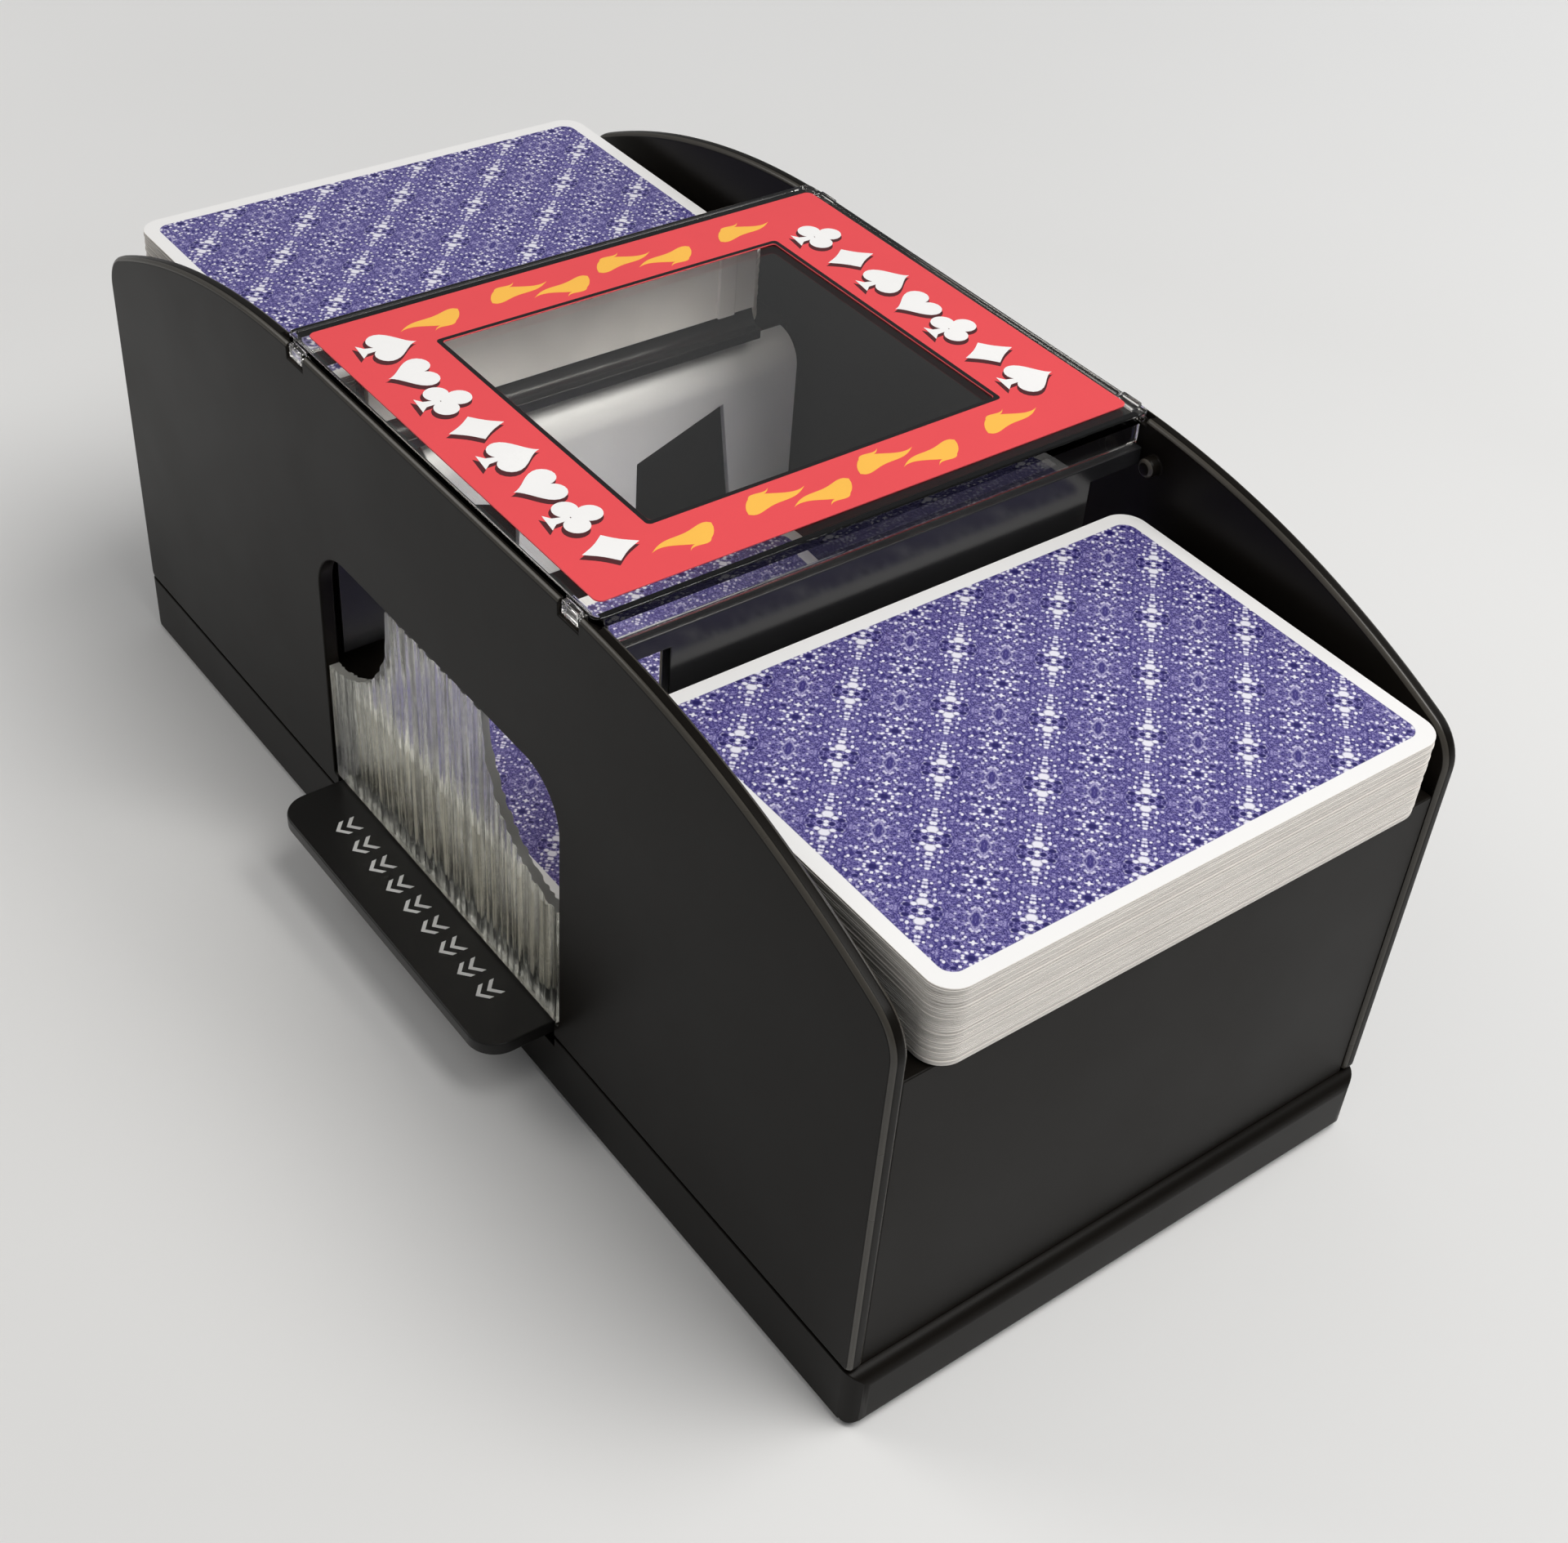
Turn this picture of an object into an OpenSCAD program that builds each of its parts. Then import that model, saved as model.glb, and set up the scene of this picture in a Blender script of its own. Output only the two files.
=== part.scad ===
// Automatic card shuffler: two card trays feed a middle chamber, and the cards drop into a bin.
// +X runs along the length to the right tray, -Y is the side with the bin window and the press bar.

/* [Cards] */
// Card width, which lies along the length of the machine
card_w = 63.5; // [62:0.1:64]
// Card length, which lies across the machine
card_l = 88.9; // [87:0.1:89.5]
// Corner radius of a card
card_r = 4; // [3:0.1:5]
// Thickness of the deck on each tray
deck_t = 13.4; // [8:0.1:16]
// Thickness of the shuffled stack in the bin
stack_t = 18; // [8:0.1:24]

/* [Housing] */
// Length of the side panels
body_l = 216; // [215:0.5:218]
// Width over the two side panels
body_w = 101; // [101:0.5:103]
// Height of the side panels' flat top above the table
panel_top = 96.5; // [96:0.1:97]
// Thickness of a side panel
panel_t = 2.5; // [2:0.1:2.6]
// Length of the flat part of a side panel's top edge
flat_l = 72; // [68:0.5:74]
// Radius of the long arcs that fall towards the ends
dome_r = 155; // [150:1:165]
// Radius of the tight corner at each end of the arcs
dome_corner_r = 8; // [6:0.5:9]
// Height of the base pan's rim
base_h = 12; // [11.5:0.1:12]
// How far the base pan's lip stands out past each end of the panels
base_lip = 1.5; // [1:0.1:2]

/* [Window and bin] */
// Width of the bin window in the front panel
window_w = 70.8; // [70.4:0.1:72]
// Top of the bin window
window_top = 63.6; // [63.4:0.1:65]
// Radius of the window's upper corners
window_r = 9; // [7:0.5:10]
// Width over the bin
bin_w = 69; // [68.6:0.1:69.2]
// Thickness of the bin's walls
bin_t = 1.8; // [1.5:0.1:2]
// Width of the tall tab in the middle of the bin's front
bin_tab_w = 28; // [24:0.5:30]
// Radius of the finger scoop on each side of that tab
scoop_r = 22; // [20:0.5:22]

/* [Press bar] */
// How far the press bar's tab stands out of the front panel
tab_out = 12; // [10:0.5:13]
// Width of the press bar
tab_w = 67; // [64:0.5:67]
// Thickness of the press bar
tab_t = 2.4; // [2:0.1:2.5]

/* [Cover] */
// Width of the clear cover, along the length of the machine
cover_w = 84.6; // [84:0.1:85]
// Length of the clear cover, across the machine
cover_l = 98.6; // [98:0.1:98.8]
// Thickness of the clear cover's plate
cover_t = 1.7; // [1.4:0.1:1.7]
// Width of the printed insert
label_w = 78.8; // [77:0.1:80]
// Length of the printed insert
label_l = 94.4; // [93:0.1:95]
// Width of the window in the insert
label_window_w = 55; // [50:0.5:58]
// Length of the window in the insert
label_window_l = 62; // [56:0.5:66]

/* [Drive] */
// Radius of a rubber tyre
tyre_r = 9.5; // [9.3:0.05:9.5]
// Width of a rubber tyre
tyre_w = 10; // [8:0.5:10]
// Distance of a roller from the middle of its shaft
tyre_y = 22; // [20:0.5:23]
// Radius of a roller shaft
shaft_r = 1.5; // [1.4:0.05:1.5]
// Gear module
gear_m = 0.5; // [0.5]
// Teeth on a roller gear
roller_teeth = 24; // [24]
// Teeth on the small wheel of an idler gear
idler_small_teeth = 12; // [12]
// Teeth on the big wheel of an idler gear
idler_big_teeth = 40; // [40]
// Teeth on a motor pinion
pinion_teeth = 10; // [10]

/* [Hidden] */
$fn = 64;

half_l = body_l / 2;
half_w = body_w / 2;
inner_w = half_w - panel_t;          // half the width between the side panels
fit_gap = 0.1;                       // between neighbouring fixed pieces
body_y = tab_out / 2;                // puts the middle of the whole footprint on the origin

foot_h = 1;                          // the pan's underside above the table
floor_t = 2;                         // the pan's floor
pan_floor = foot_h + floor_t;
pan_l = body_l / 2 + base_lip;       // half length of the base pan
pan_wall = 2.4;

corner_z = panel_top - dome_r
    + sqrt(pow(dome_r - dome_corner_r, 2) - pow(half_l - dome_corner_r - flat_l / 2, 2));
tangent_x = flat_l / 2 + (half_l - dome_corner_r - flat_l / 2) * dome_r / (dome_r - dome_corner_r);

tray_top = 69.5;                     // the surface that a deck lies on
tray_t = 2.2;
tray_in = 43.2;                      // inner wall of a tray
tray_wall = 2;
end_wall_x = half_l - 0.6;           // outer face of an end wall
end_wall_t = 2.2;
deck_z = tray_top + 0.3;
deck_x = 45.4;                       // the deck's edge beside the gate

gate_x = 41.2;                       // chamber face of a gate
gate_t = 2;
gate_w = 38;                         // half width of a gate's blade
gate_top = 91.7;
gate_bar_h = 3;
slot_h = 1.8;                        // feed slot under the gate
gate_lip_r = 5;

cover_top = 97.4;
label_t = 0.3;
cover_z = cover_top - label_t - cover_t;
skirt_h = 3.4;
skirt_t = 1.7;
lug_x = 37.5;
lug_w = 4;

tab_z = 12.6;                        // underside of the press bar
pivot_y = -27;
pivot_z = 11.6;
pivot_pin_r = 1.2;
knuckle_r = 2.2;
bar_press = 3.4;                     // degrees the bar turns when pressed
spring_x = 22;
spring_y = -42;

shelf_z = 13.2;
shelf_t = 2;
bin_z = shelf_z + shelf_t + 0.4;
bin_back_y = 46.5;
bin_side_h = 29.5;
bin_front_low = 39;                  // height of the scoops' lowest point
bin_front_top = window_top - 0.6;

roller_x = 56;
roller_z = tray_top + 0.15 - tyre_r;
hanger_y = 33.5;                     // inner face of the plates that carry the shafts
hanger_t = 3;
gear_y = 38.2;                       // near face of the roller gear
gear_w = 3;
idler_angle = -50;
pinion_angle = -10;
roller_pitch = gear_m * roller_teeth / 2;
small_pitch = gear_m * idler_small_teeth / 2;
big_pitch = gear_m * idler_big_teeth / 2;
pinion_pitch = gear_m * pinion_teeth / 2;
idler_x = roller_x + (roller_pitch + small_pitch) * cos(idler_angle);
idler_z = roller_z + (roller_pitch + small_pitch) * sin(idler_angle);
motor_x = idler_x + (big_pitch + pinion_pitch) * cos(pinion_angle);
motor_z = idler_z + (big_pitch + pinion_pitch) * sin(pinion_angle);
big_y = 42.2;                        // near face of the idler's big wheel
big_w = 2.2;
motor_len = 25;
motor_flat = 15.1;
motor_r = 10.05;
run_gap = 0.05;                      // radial clearance of a shaft in its hole

cell_r = 7.15;
cell_l = 49;
cell_pitch = 15.2;
cell_z = pan_floor + 0.4 + cell_r;
cell_x = 52.3;                       // the cells' near end
nub_l = 1.2;
box_x0 = 46.6;                       // inside of the battery box
box_x1 = 103.6;
box_y = 31;
box_top = 18.2;
box_wall = 1.6;
door_x0 = 47.8;
door_x1 = 102.7;
door_y = 30.2;
door_t = 1.9;

case_screw_x = 99;
case_screw_y = 39;
foot_x = 88;
foot_y = 43;
panel_screw_x = 96;
panel_screw_z = [28, 60];
wire_hole_y = 37.4;
wire_hole_z = 8.6;

// ---- helpers ----

// Draws a piece about the machine's middle plane and puts it in the row's frame
module seat() {
    translate([0, body_y, 0]) children();
}

// Box between two corners
module slab(a, b) {
    translate(a) cube(b - a);
}

// Solid with an outline in X and Z, reaching from y0 to y1
module across(y0, y1) {
    translate([0, y1, 0]) rotate([90, 0, 0]) linear_extrude(y1 - y0) children();
}

// Cylinder along Y
module rod_y(x, z, y0, y1, r) {
    translate([x, y0, z]) rotate([-90, 0, 0]) cylinder(h = y1 - y0, r = r);
}

// Cylinder along X
module rod_x(y, z, x0, x1, r) {
    translate([x0, y, z]) rotate([0, 90, 0]) cylinder(h = x1 - x0, r = r);
}

// Cylinder along Z
module rod_z(x, y, z0, z1, r) {
    translate([x, y, z0]) cylinder(h = z1 - z0, r = r);
}

// Mirrors a right-hand piece to the left
module on_left() {
    mirror([1, 0, 0]) children();
}

// Mirrors a front piece to the rear
module both_y() {
    children();
    mirror([0, 1, 0]) children();
}

// Repeats a piece on all four corners
module four() {
    both_y() {
        children();
        on_left() children();
    }
}

// Rectangle with round corners, about the origin
module round_rect(w, l, r) {
    square([w - 2 * r, l], center = true);
    square([w, l - 2 * r], center = true);
    for (x = [-1, 1], y = [-1, 1]) translate([x * (w / 2 - r), y * (l / 2 - r)]) circle(r);
}

// Angle in degrees between the start of an involute and its point at radius r
function involute(base, r) = r <= base ? 0 : tan(acos(base / r)) * 180 / PI - acos(base / r);

gear_pressure = 25;
gear_addendum = 0.75;
gear_dedendum = 1;
gear_backlash = 0.035;               // taken off each flank, in mm at the pitch circle

// Half angle of a tooth at radius r
function tooth_half(teeth, r) =
    let (pitch = gear_m * teeth / 2, base = pitch * cos(gear_pressure))
    90 / teeth - gear_backlash / pitch * 180 / PI + involute(base, pitch) - involute(base, r);

// Points of one flank pair, from root to tip and back
function tooth(teeth, turn) =
    let (pitch = gear_m * teeth / 2, base = pitch * cos(gear_pressure),
         root = pitch - gear_dedendum * gear_m, tip = pitch + gear_addendum * gear_m,
         steps = [root, max(root, base), pitch, (pitch + tip) / 2, tip],
         side = [for (r = steps) [r, tooth_half(teeth, r)]])
    concat(
        [for (s = side) [s[0] * cos(turn - s[1]), s[0] * sin(turn - s[1])]],
        [for (i = [len(side) - 1:-1:0]) [side[i][0] * cos(turn + side[i][1]), side[i][0] * sin(turn + side[i][1])]]
    );

// Outline of a spur gear with one tooth centred on the angle phase
module gear_outline(teeth, phase) {
    polygon([for (i = [0:teeth - 1], p = tooth(teeth, phase + i * 360 / teeth)) p]);
}

// Spur gear about an axis along Y; its outline is seen from the front
module gear(x, z, y0, w, teeth, phase) {
    translate([x, y0 + w, z]) rotate([90, 0, 0]) linear_extrude(w) gear_outline(teeth, phase);
}

// Point on a smooth curve through a list of points
function spline_point(p, i, t) =
    let (a = p[max(i - 1, 0)], b = p[i], c = p[i + 1], d = p[min(i + 2, len(p) - 1)])
    0.5 * (2 * b + (c - a) * t + (2 * a - 5 * b + 4 * c - d) * t * t + (3 * b - a - 3 * c + d) * t * t * t);

function spline(p, steps) = concat(
    [for (i = [0:len(p) - 2], s = [0:steps - 1]) spline_point(p, i, s / steps)], [p[len(p) - 1]]);

function unit(v) = v / norm(v);

// Sweeps a round section along points; up is any direction that the curve never follows
module tube(points, r, sides = 8, up = [0.31, 0.17, 0.93]) {
    n = len(points);
    rings = [for (i = [0:n - 1])
        let (along = unit(points[min(i + 1, n - 1)] - points[max(i - 1, 0)]),
             u = unit(cross(along, up)), v = cross(along, u))
        [for (k = [0:sides - 1]) points[i] + r * (cos(k * 360 / sides) * u + sin(k * 360 / sides) * v)]];
    polyhedron(
        points = [for (ring = rings, p = ring) p],
        faces = concat(
            [[for (k = [0:sides - 1]) k]],
            [[for (k = [sides - 1:-1:0]) (n - 1) * sides + k]],
            [for (i = [0:n - 2], k = [0:sides - 1]) [i * sides + k, (i + 1) * sides + k, (i + 1) * sides + (k + 1) % sides]],
            [for (i = [0:n - 2], k = [0:sides - 1])
                [i * sides + k, (i + 1) * sides + (k + 1) % sides, i * sides + (k + 1) % sides]]
        )
    );
}

// Points of a coil spring along Z
function coil(r, h, turns, per_turn) =
    [for (i = [0:turns * per_turn])
        [r * cos(i * 360 / per_turn), r * sin(i * 360 / per_turn), h * i / (turns * per_turn)]];

// ---- housing ----

module panel_outline() {
    intersection() {
        translate([-half_l, base_h + fit_gap]) square([body_l, panel_top - base_h - fit_gap]);
        union() {
            translate([-half_l, 0]) square([body_l, corner_z]);
            for (s = [-1, 1]) translate([s * (half_l - dome_corner_r), corner_z]) circle(dome_corner_r);
            intersection() {
                translate([-tangent_x, 0]) square([2 * tangent_x, panel_top]);
                union() {
                    translate([-flat_l / 2, 0]) square([flat_l, panel_top]);
                    for (s = [-1, 1]) translate([s * flat_l / 2, panel_top - dome_r]) circle(dome_r, $fn = 360);
                }
            }
        }
    }
}

// Cutters where the cover sits on a panel: a ledge for the plate and two notches for the lugs
module cover_seat_cut() {
    slab([-cover_w / 2 - 0.5, -half_w + 1, cover_z - 0.2], [cover_w / 2 + 0.5, -inner_w + 1, panel_top + 1]);
    for (s = [-1, 1]) {
        slab([s * lug_x - lug_w / 2 - 0.4, -half_w - 1, cover_z - 1.4],
             [s * lug_x + lug_w / 2 + 0.4, -inner_w + 1, panel_top + 1]);
    }
}

// Bosses inside a panel: four for the screws, two short pegs under the cover's corners
module panel_bosses() {
    for (s = [-1, 1]) {
        for (z = panel_screw_z) rod_y(s * panel_screw_x, z, -inner_w, -43.5, 3);
        rod_y(s * 46, 90, -inner_w, -45.8, 1.6);
    }
}

module panel_screw_bores() {
    for (s = [-1, 1], z = panel_screw_z) rod_y(s * panel_screw_x, z, -inner_w, -43, 1.3);
}

module front_side_panel() {
    seat() color([0.13, 0.12, 0.11]) difference() {
        union() {
            across(-half_w, -inner_w) panel_outline();
            panel_bosses();
        }
        cover_seat_cut();
        panel_screw_bores();
        across(-half_w - 1, -inner_w + 1) {
            translate([-window_w / 2, 15.4]) square([window_w, window_top - window_r - 15.4]);
            translate([-window_w / 2 + window_r, 15.4]) square([window_w - 2 * window_r, window_top - 15.4]);
            for (s = [-1, 1]) translate([s * (window_w / 2 - window_r), window_top - window_r]) circle(window_r);
            translate([-tab_w / 2 - 0.5, base_h - 1]) square([tab_w + 1, 5]);
        }
    }
}

module rear_side_panel() {
    seat() color([0.13, 0.12, 0.11]) mirror([0, 1, 0]) difference() {
        union() {
            across(-half_w, -inner_w) panel_outline();
            panel_bosses();
        }
        cover_seat_cut();
        panel_screw_bores();
    }
}

module pan_profile() {
    lip_r = 2.5;
    foot_r = 1.5;
    translate([-pan_l, foot_h + foot_r]) square([2 * pan_l, base_h - foot_h - lip_r - foot_r]);
    translate([-pan_l + lip_r, foot_h]) square([2 * (pan_l - lip_r), base_h - foot_h]);
    for (s = [-1, 1]) {
        translate([s * (pan_l - lip_r), base_h - lip_r]) circle(lip_r);
        translate([s * (pan_l - foot_r), foot_h + foot_r]) circle(foot_r);
    }
}

module battery_box() {
    difference() {
        slab([box_x0 - 1.2, -box_y - box_wall, foot_h + 1], [box_x1 + 1.2, box_y + box_wall, box_top + box_wall]);
        slab([box_x0, -box_y, 0], [box_x1, box_y, box_top]);
        both_y() slab([box_x0 - 2, 9.5, pan_floor], [box_x0 + 1, 15.5, pan_floor + 2.6]);
        both_y() slab([box_x0 - 0.1, 20.5, box_top - 1], [box_x0 + 0.9, 25, box_top + 3]);
    }
}

// Ears that hold the press bar's pins
module pivot_ears() {
    for (s = [-1, 1], x = [16, 28.6]) {
        difference() {
            union() {
                slab([s > 0 ? x : -x - 3, pivot_y - 2.4, foot_h + 1], [s > 0 ? x + 3 : -x, pivot_y + 2.4, pivot_z]);
                rod_x(pivot_y, pivot_z, s > 0 ? x : -x - 3, s > 0 ? x + 3 : -x, 2.4);
            }
            rod_x(pivot_y, pivot_z, -60, 60, pivot_pin_r + 0.01);
        }
    }
}

module base_pan() {
    seat() color([0.14, 0.13, 0.12]) {
        difference() {
            union() {
                difference() {
                    intersection() {
                        across(-half_w, half_w) pan_profile();
                        linear_extrude(base_h) round_rect(2 * pan_l, body_w, 3);
                    }
                    slab([-pan_l + pan_wall, -half_w + pan_wall, pan_floor],
                         [pan_l - pan_wall, half_w - pan_wall, base_h - pan_wall]);
                    slab([-end_wall_x + 2.4, -half_w + pan_wall, pan_floor],
                         [end_wall_x - 2.4, half_w - pan_wall, base_h + 1]);
                    slab([-tab_w / 2 - 0.7, -half_w - 1, 10.2], [tab_w / 2 + 0.7, -inner_w + 3, base_h + 1]);
                }
                battery_box();
                pivot_ears();
                four() rod_z(case_screw_x, case_screw_y, foot_h + 1, pan_floor + 2, 4.2);
                for (s = [-1, 1]) rod_z(s * spring_x, spring_y, foot_h + 1, pan_floor + 2, 1.7);
            }
            slab([box_x0 + 0.9, -box_y + 0.5, foot_h - 1], [box_x1 - 0.6, box_y - 0.5, pan_floor + 1]);
            four() rod_z(case_screw_x, case_screw_y, foot_h - 1, pan_floor, 3.1);
            four() rod_z(case_screw_x, case_screw_y, foot_h - 1, pan_floor + 3, 1.6);
            four() rod_z(foot_x, foot_y, foot_h - 1, foot_h + 1, 4.6);
        }
    }
}

module rubber_feet() {
    seat() color([0.08, 0.08, 0.08]) four() {
        rod_z(foot_x, foot_y, 0.5, foot_h + 1, 4.5);
        rod_z(foot_x, foot_y, 0, foot_h, 4);
    }
}

module battery_door() {
    seat() color([0.14, 0.13, 0.12]) difference() {
        union() {
            slab([door_x0, -door_y, foot_h + 0.1], [door_x1, door_y, foot_h + 0.1 + door_t]);
            both_y() slab([door_x0 - 1.6, 10, pan_floor + 0.1], [door_x0 + 1, 15, pan_floor + 0.9]);
            both_y() slab([door_x0, 10, foot_h + door_t], [door_x0 + 1, 15, pan_floor + 0.5]);
        }
        for (i = [0:4]) slab([92 + i * 2, -9, foot_h], [93 + i * 2, 9, foot_h + 0.5]);
    }
}

// ---- card trays ----

// Plate that carries a roller shaft, hanging from the tray floor
module hanger(x1, z0) {
    slab([tray_in, hanger_y, z0], [x1, hanger_y + hanger_t, tray_top - 1]);
}

module card_tray() {
    difference() {
        union() {
            slab([tray_in, -inner_w + fit_gap, tray_top - tray_t], [end_wall_x, inner_w - fit_gap, tray_top]);
            slab([end_wall_x - end_wall_t, -inner_w + fit_gap, base_h + fit_gap],
                 [end_wall_x, inner_w - fit_gap, tray_top]);
            slab([tray_in, -inner_w + fit_gap, pan_floor + fit_gap],
                 [tray_in + tray_wall, inner_w - fit_gap, tray_top - 1]);
            slab([tray_in - 1.8, pivot_y + 4, shelf_z - 2], [tray_in + 1, inner_w - 1, shelf_z - fit_gap]);
            hanger(84, 40);
            mirror([0, 1, 0]) hanger(68, 51);
            both_y() {
                for (z = panel_screw_z) {
                    slab([panel_screw_x - 4, -43.4, z - 4], [end_wall_x - 1, -41.4, z + 4]);
                }
                difference() {
                    union() {
                        rod_z(case_screw_x, -case_screw_y, pan_floor + 2 + fit_gap, 18, 3.4);
                        slab([case_screw_x, -case_screw_y - 1, base_h + fit_gap], [end_wall_x - 1, -case_screw_y + 1, 18]);
                    }
                    rod_z(case_screw_x, -case_screw_y, pan_floor, 16, 1.45);
                }
            }
        }
        for (s = [-1, 1]) {
            slab([roller_x - 7.4, s * tyre_y - tyre_w / 2 - 1, tray_top - 4],
                 [roller_x + 7.4, s * tyre_y + tyre_w / 2 + 1, tray_top + 1]);
            for (z = panel_screw_z) rod_y(panel_screw_x, z, s > 0 ? 40 : -45, s > 0 ? 45 : -40, 1.6);
            rod_x(s * wire_hole_y, wire_hole_z, tray_in - 1, tray_in + tray_wall + 1, 3.6);
        }
        rod_y(roller_x, roller_z, -hanger_y - hanger_t - 1, -hanger_y + 1, 3.02);
        rod_y(roller_x, roller_z, hanger_y - 1, hanger_y + hanger_t + 1, 3.02);
        rod_y(idler_x, idler_z, hanger_y - 1, hanger_y + hanger_t + 1, 1);
        rod_y(motor_x, motor_z, hanger_y - 1, hanger_y + hanger_t + 1, 3.1);
        for (s = [-1, 1]) rod_y(motor_x, motor_z + s * 8, hanger_y - 1, hanger_y + hanger_t + 1, 1.1);
    }
}

module right_card_tray() {
    seat() color([0.17, 0.15, 0.13]) card_tray();
}

module left_card_tray() {
    seat() color([0.17, 0.15, 0.13]) on_left() card_tray();
}

// Blade with an inward-curling lower lip, and the bar that holds it between the side panels
module gate() {
    lip_z = tray_top + slot_h + gate_lip_r;
    across(-gate_w, gate_w) {
        translate([gate_x, lip_z]) square([gate_t, gate_top - lip_z]);
        translate([gate_x + gate_t - gate_lip_r, lip_z]) intersection() {
            difference() {
                circle(gate_lip_r);
                circle(gate_lip_r - gate_t);
            }
            translate([0, -gate_lip_r]) square([gate_lip_r, gate_lip_r]);
        }
    }
    slab([gate_x, -inner_w + fit_gap, gate_top - gate_bar_h], [gate_x + gate_t, inner_w - fit_gap, gate_top]);
}

module right_gate() {
    seat() color([0.12, 0.12, 0.12]) gate();
}

module left_gate() {
    seat() color([0.12, 0.12, 0.12]) on_left() gate();
}

// Pad on the chamber face of a gate, which stops the card from the far tray, with one upright rib
module card_stop() {
    stop_low = tray_top + slot_h + gate_lip_r + 0.4;
    slab([gate_x - 1.2, -gate_w + 0.5, stop_low], [gate_x, gate_w - 0.5, gate_top - 0.4]);
    slab([gate_x - 1.7, 29.5, stop_low], [gate_x - 1, 33, gate_top - 0.4]);
}

module right_card_stop() {
    seat() color([0.72, 0.66, 0.58]) card_stop();
}

module left_card_stop() {
    seat() color([0.72, 0.66, 0.58]) on_left() card_stop();
}

// Curved sheet from a tray's edge down into the bin, with an opening on each side of its middle
module feed_chute() {
    chute_t = 1.2;
    chute_r = 5.7;
    chute_top = tray_top - 0.1;
    chute_low = 38;
    chute_w = 46;
    difference() {
        union() {
            across(-chute_w, chute_w) {
                translate([tray_in - 0.1, chute_top - chute_r]) intersection() {
                    difference() {
                        circle(chute_r);
                        circle(chute_r - chute_t);
                    }
                    translate([-chute_r, 0]) square(chute_r);
                }
                translate([tray_in - 0.1 - chute_r, chute_low]) square([chute_t, chute_top - chute_r - chute_low]);
            }
            for (y = [-42, -8, 8, 42]) {
                slab([tray_in - chute_r, y - 0.8, chute_low], [tray_in - 0.1, y + 0.8, chute_top - chute_r]);
            }
        }
        both_y() translate([tray_in + 1, 0, 0]) rotate([90, 0, -90]) linear_extrude(9)
            polygon([[-33, chute_low - 1], [-30, 61], [-12, 54.5], [-12, chute_low - 1]]);
    }
}

module right_feed_chute() {
    seat() color([0.62, 0.62, 0.62]) feed_chute();
}

module left_feed_chute() {
    seat() color([0.62, 0.62, 0.62]) on_left() feed_chute();
}

module bin_shelf() {
    seat() color([0.14, 0.13, 0.12]) difference() {
        union() {
            slab([-tray_in + fit_gap, -inner_w + fit_gap, shelf_z], [tray_in - fit_gap, inner_w - fit_gap, shelf_z + shelf_t]);
            for (s = [-1, 1]) {
                slab([s > 0 ? bin_w / 2 + 0.4 : -bin_w / 2 - 2, -inner_w + 3, shelf_z + 1],
                     [s > 0 ? bin_w / 2 + 2 : -bin_w / 2 - 0.4, inner_w - 1, shelf_z + 9]);
            }
        }
        slab([-tab_w / 2 - 0.4, -inner_w - 1, shelf_z - 1], [tab_w / 2 + 0.4, pivot_y + 3, shelf_z + shelf_t + 1]);
    }
}

// ---- cover ----

module top_cover() {
    seat() color([0.85, 0.85, 0.82, 0.35]) {
        translate([0, 0, cover_z]) linear_extrude(cover_t) round_rect(cover_w, cover_l, 1.5);
        for (s = [-1, 1]) {
            slab([s > 0 ? cover_w / 2 - skirt_t : -cover_w / 2, -inner_w + 0.5, cover_z - skirt_h],
                 [s > 0 ? cover_w / 2 : -cover_w / 2 + skirt_t, inner_w - 0.5, cover_z + 0.5]);
        }
        four() slab([lug_x - lug_w / 2, inner_w + 0.4, cover_z - 1], [lug_x + lug_w / 2, half_w - 0.2, cover_z + cover_t - 0.4]);
    }
}

module cover_insert() {
    seat() color([0.9, 0.28, 0.3]) translate([0, 0, cover_z + cover_t]) linear_extrude(label_t) difference() {
        square([label_w, label_l], center = true);
        square([label_window_w, label_window_l], center = true);
    }
}

// ---- bin ----

module bin_front_outline() {
    difference() {
        union() {
            translate([-bin_w / 2, bin_z]) square([bin_w, bin_front_low + scoop_r - bin_z]);
            translate([-bin_tab_w / 2, bin_z]) square([bin_tab_w, bin_front_top - bin_z]);
        }
        for (s = [-1, 1]) translate([s * (bin_tab_w / 2 + scoop_r), bin_front_low + scoop_r]) circle(scoop_r);
    }
}

module card_bin() {
    front_y = -half_w + 0.2;
    seat() color([0.85, 0.87, 0.88, 0.35]) {
        across(front_y, front_y + bin_t) bin_front_outline();
        slab([-bin_w / 2, front_y + bin_t / 2, bin_z], [bin_w / 2, bin_back_y, bin_z + bin_t]);
        slab([-bin_w / 2, bin_back_y - bin_t, bin_z], [bin_w / 2, bin_back_y, bin_z + bin_side_h]);
        for (s = [-1, 1]) {
            slab([s > 0 ? bin_w / 2 - bin_t : -bin_w / 2, front_y + bin_t / 2, bin_z],
                 [s > 0 ? bin_w / 2 : -bin_w / 2 + bin_t, bin_back_y, bin_z + bin_side_h - 6]);
        }
    }
}

module card_block(t) {
    linear_extrude(t) round_rect(card_w, card_l, card_r);
}

module shuffled_cards() {
    seat() color([0.3, 0.27, 0.55]) translate([0, -3, bin_z + bin_t + 0.05]) card_block(stack_t);
}

module right_deck() {
    seat() color([0.3, 0.27, 0.55]) translate([deck_x + card_w / 2, 0, deck_z]) card_block(deck_t);
}

module left_deck() {
    seat() color([0.3, 0.27, 0.55]) translate([-deck_x - card_w / 2, 0, deck_z]) card_block(deck_t);
}

// ---- press bar and switch ----

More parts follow.
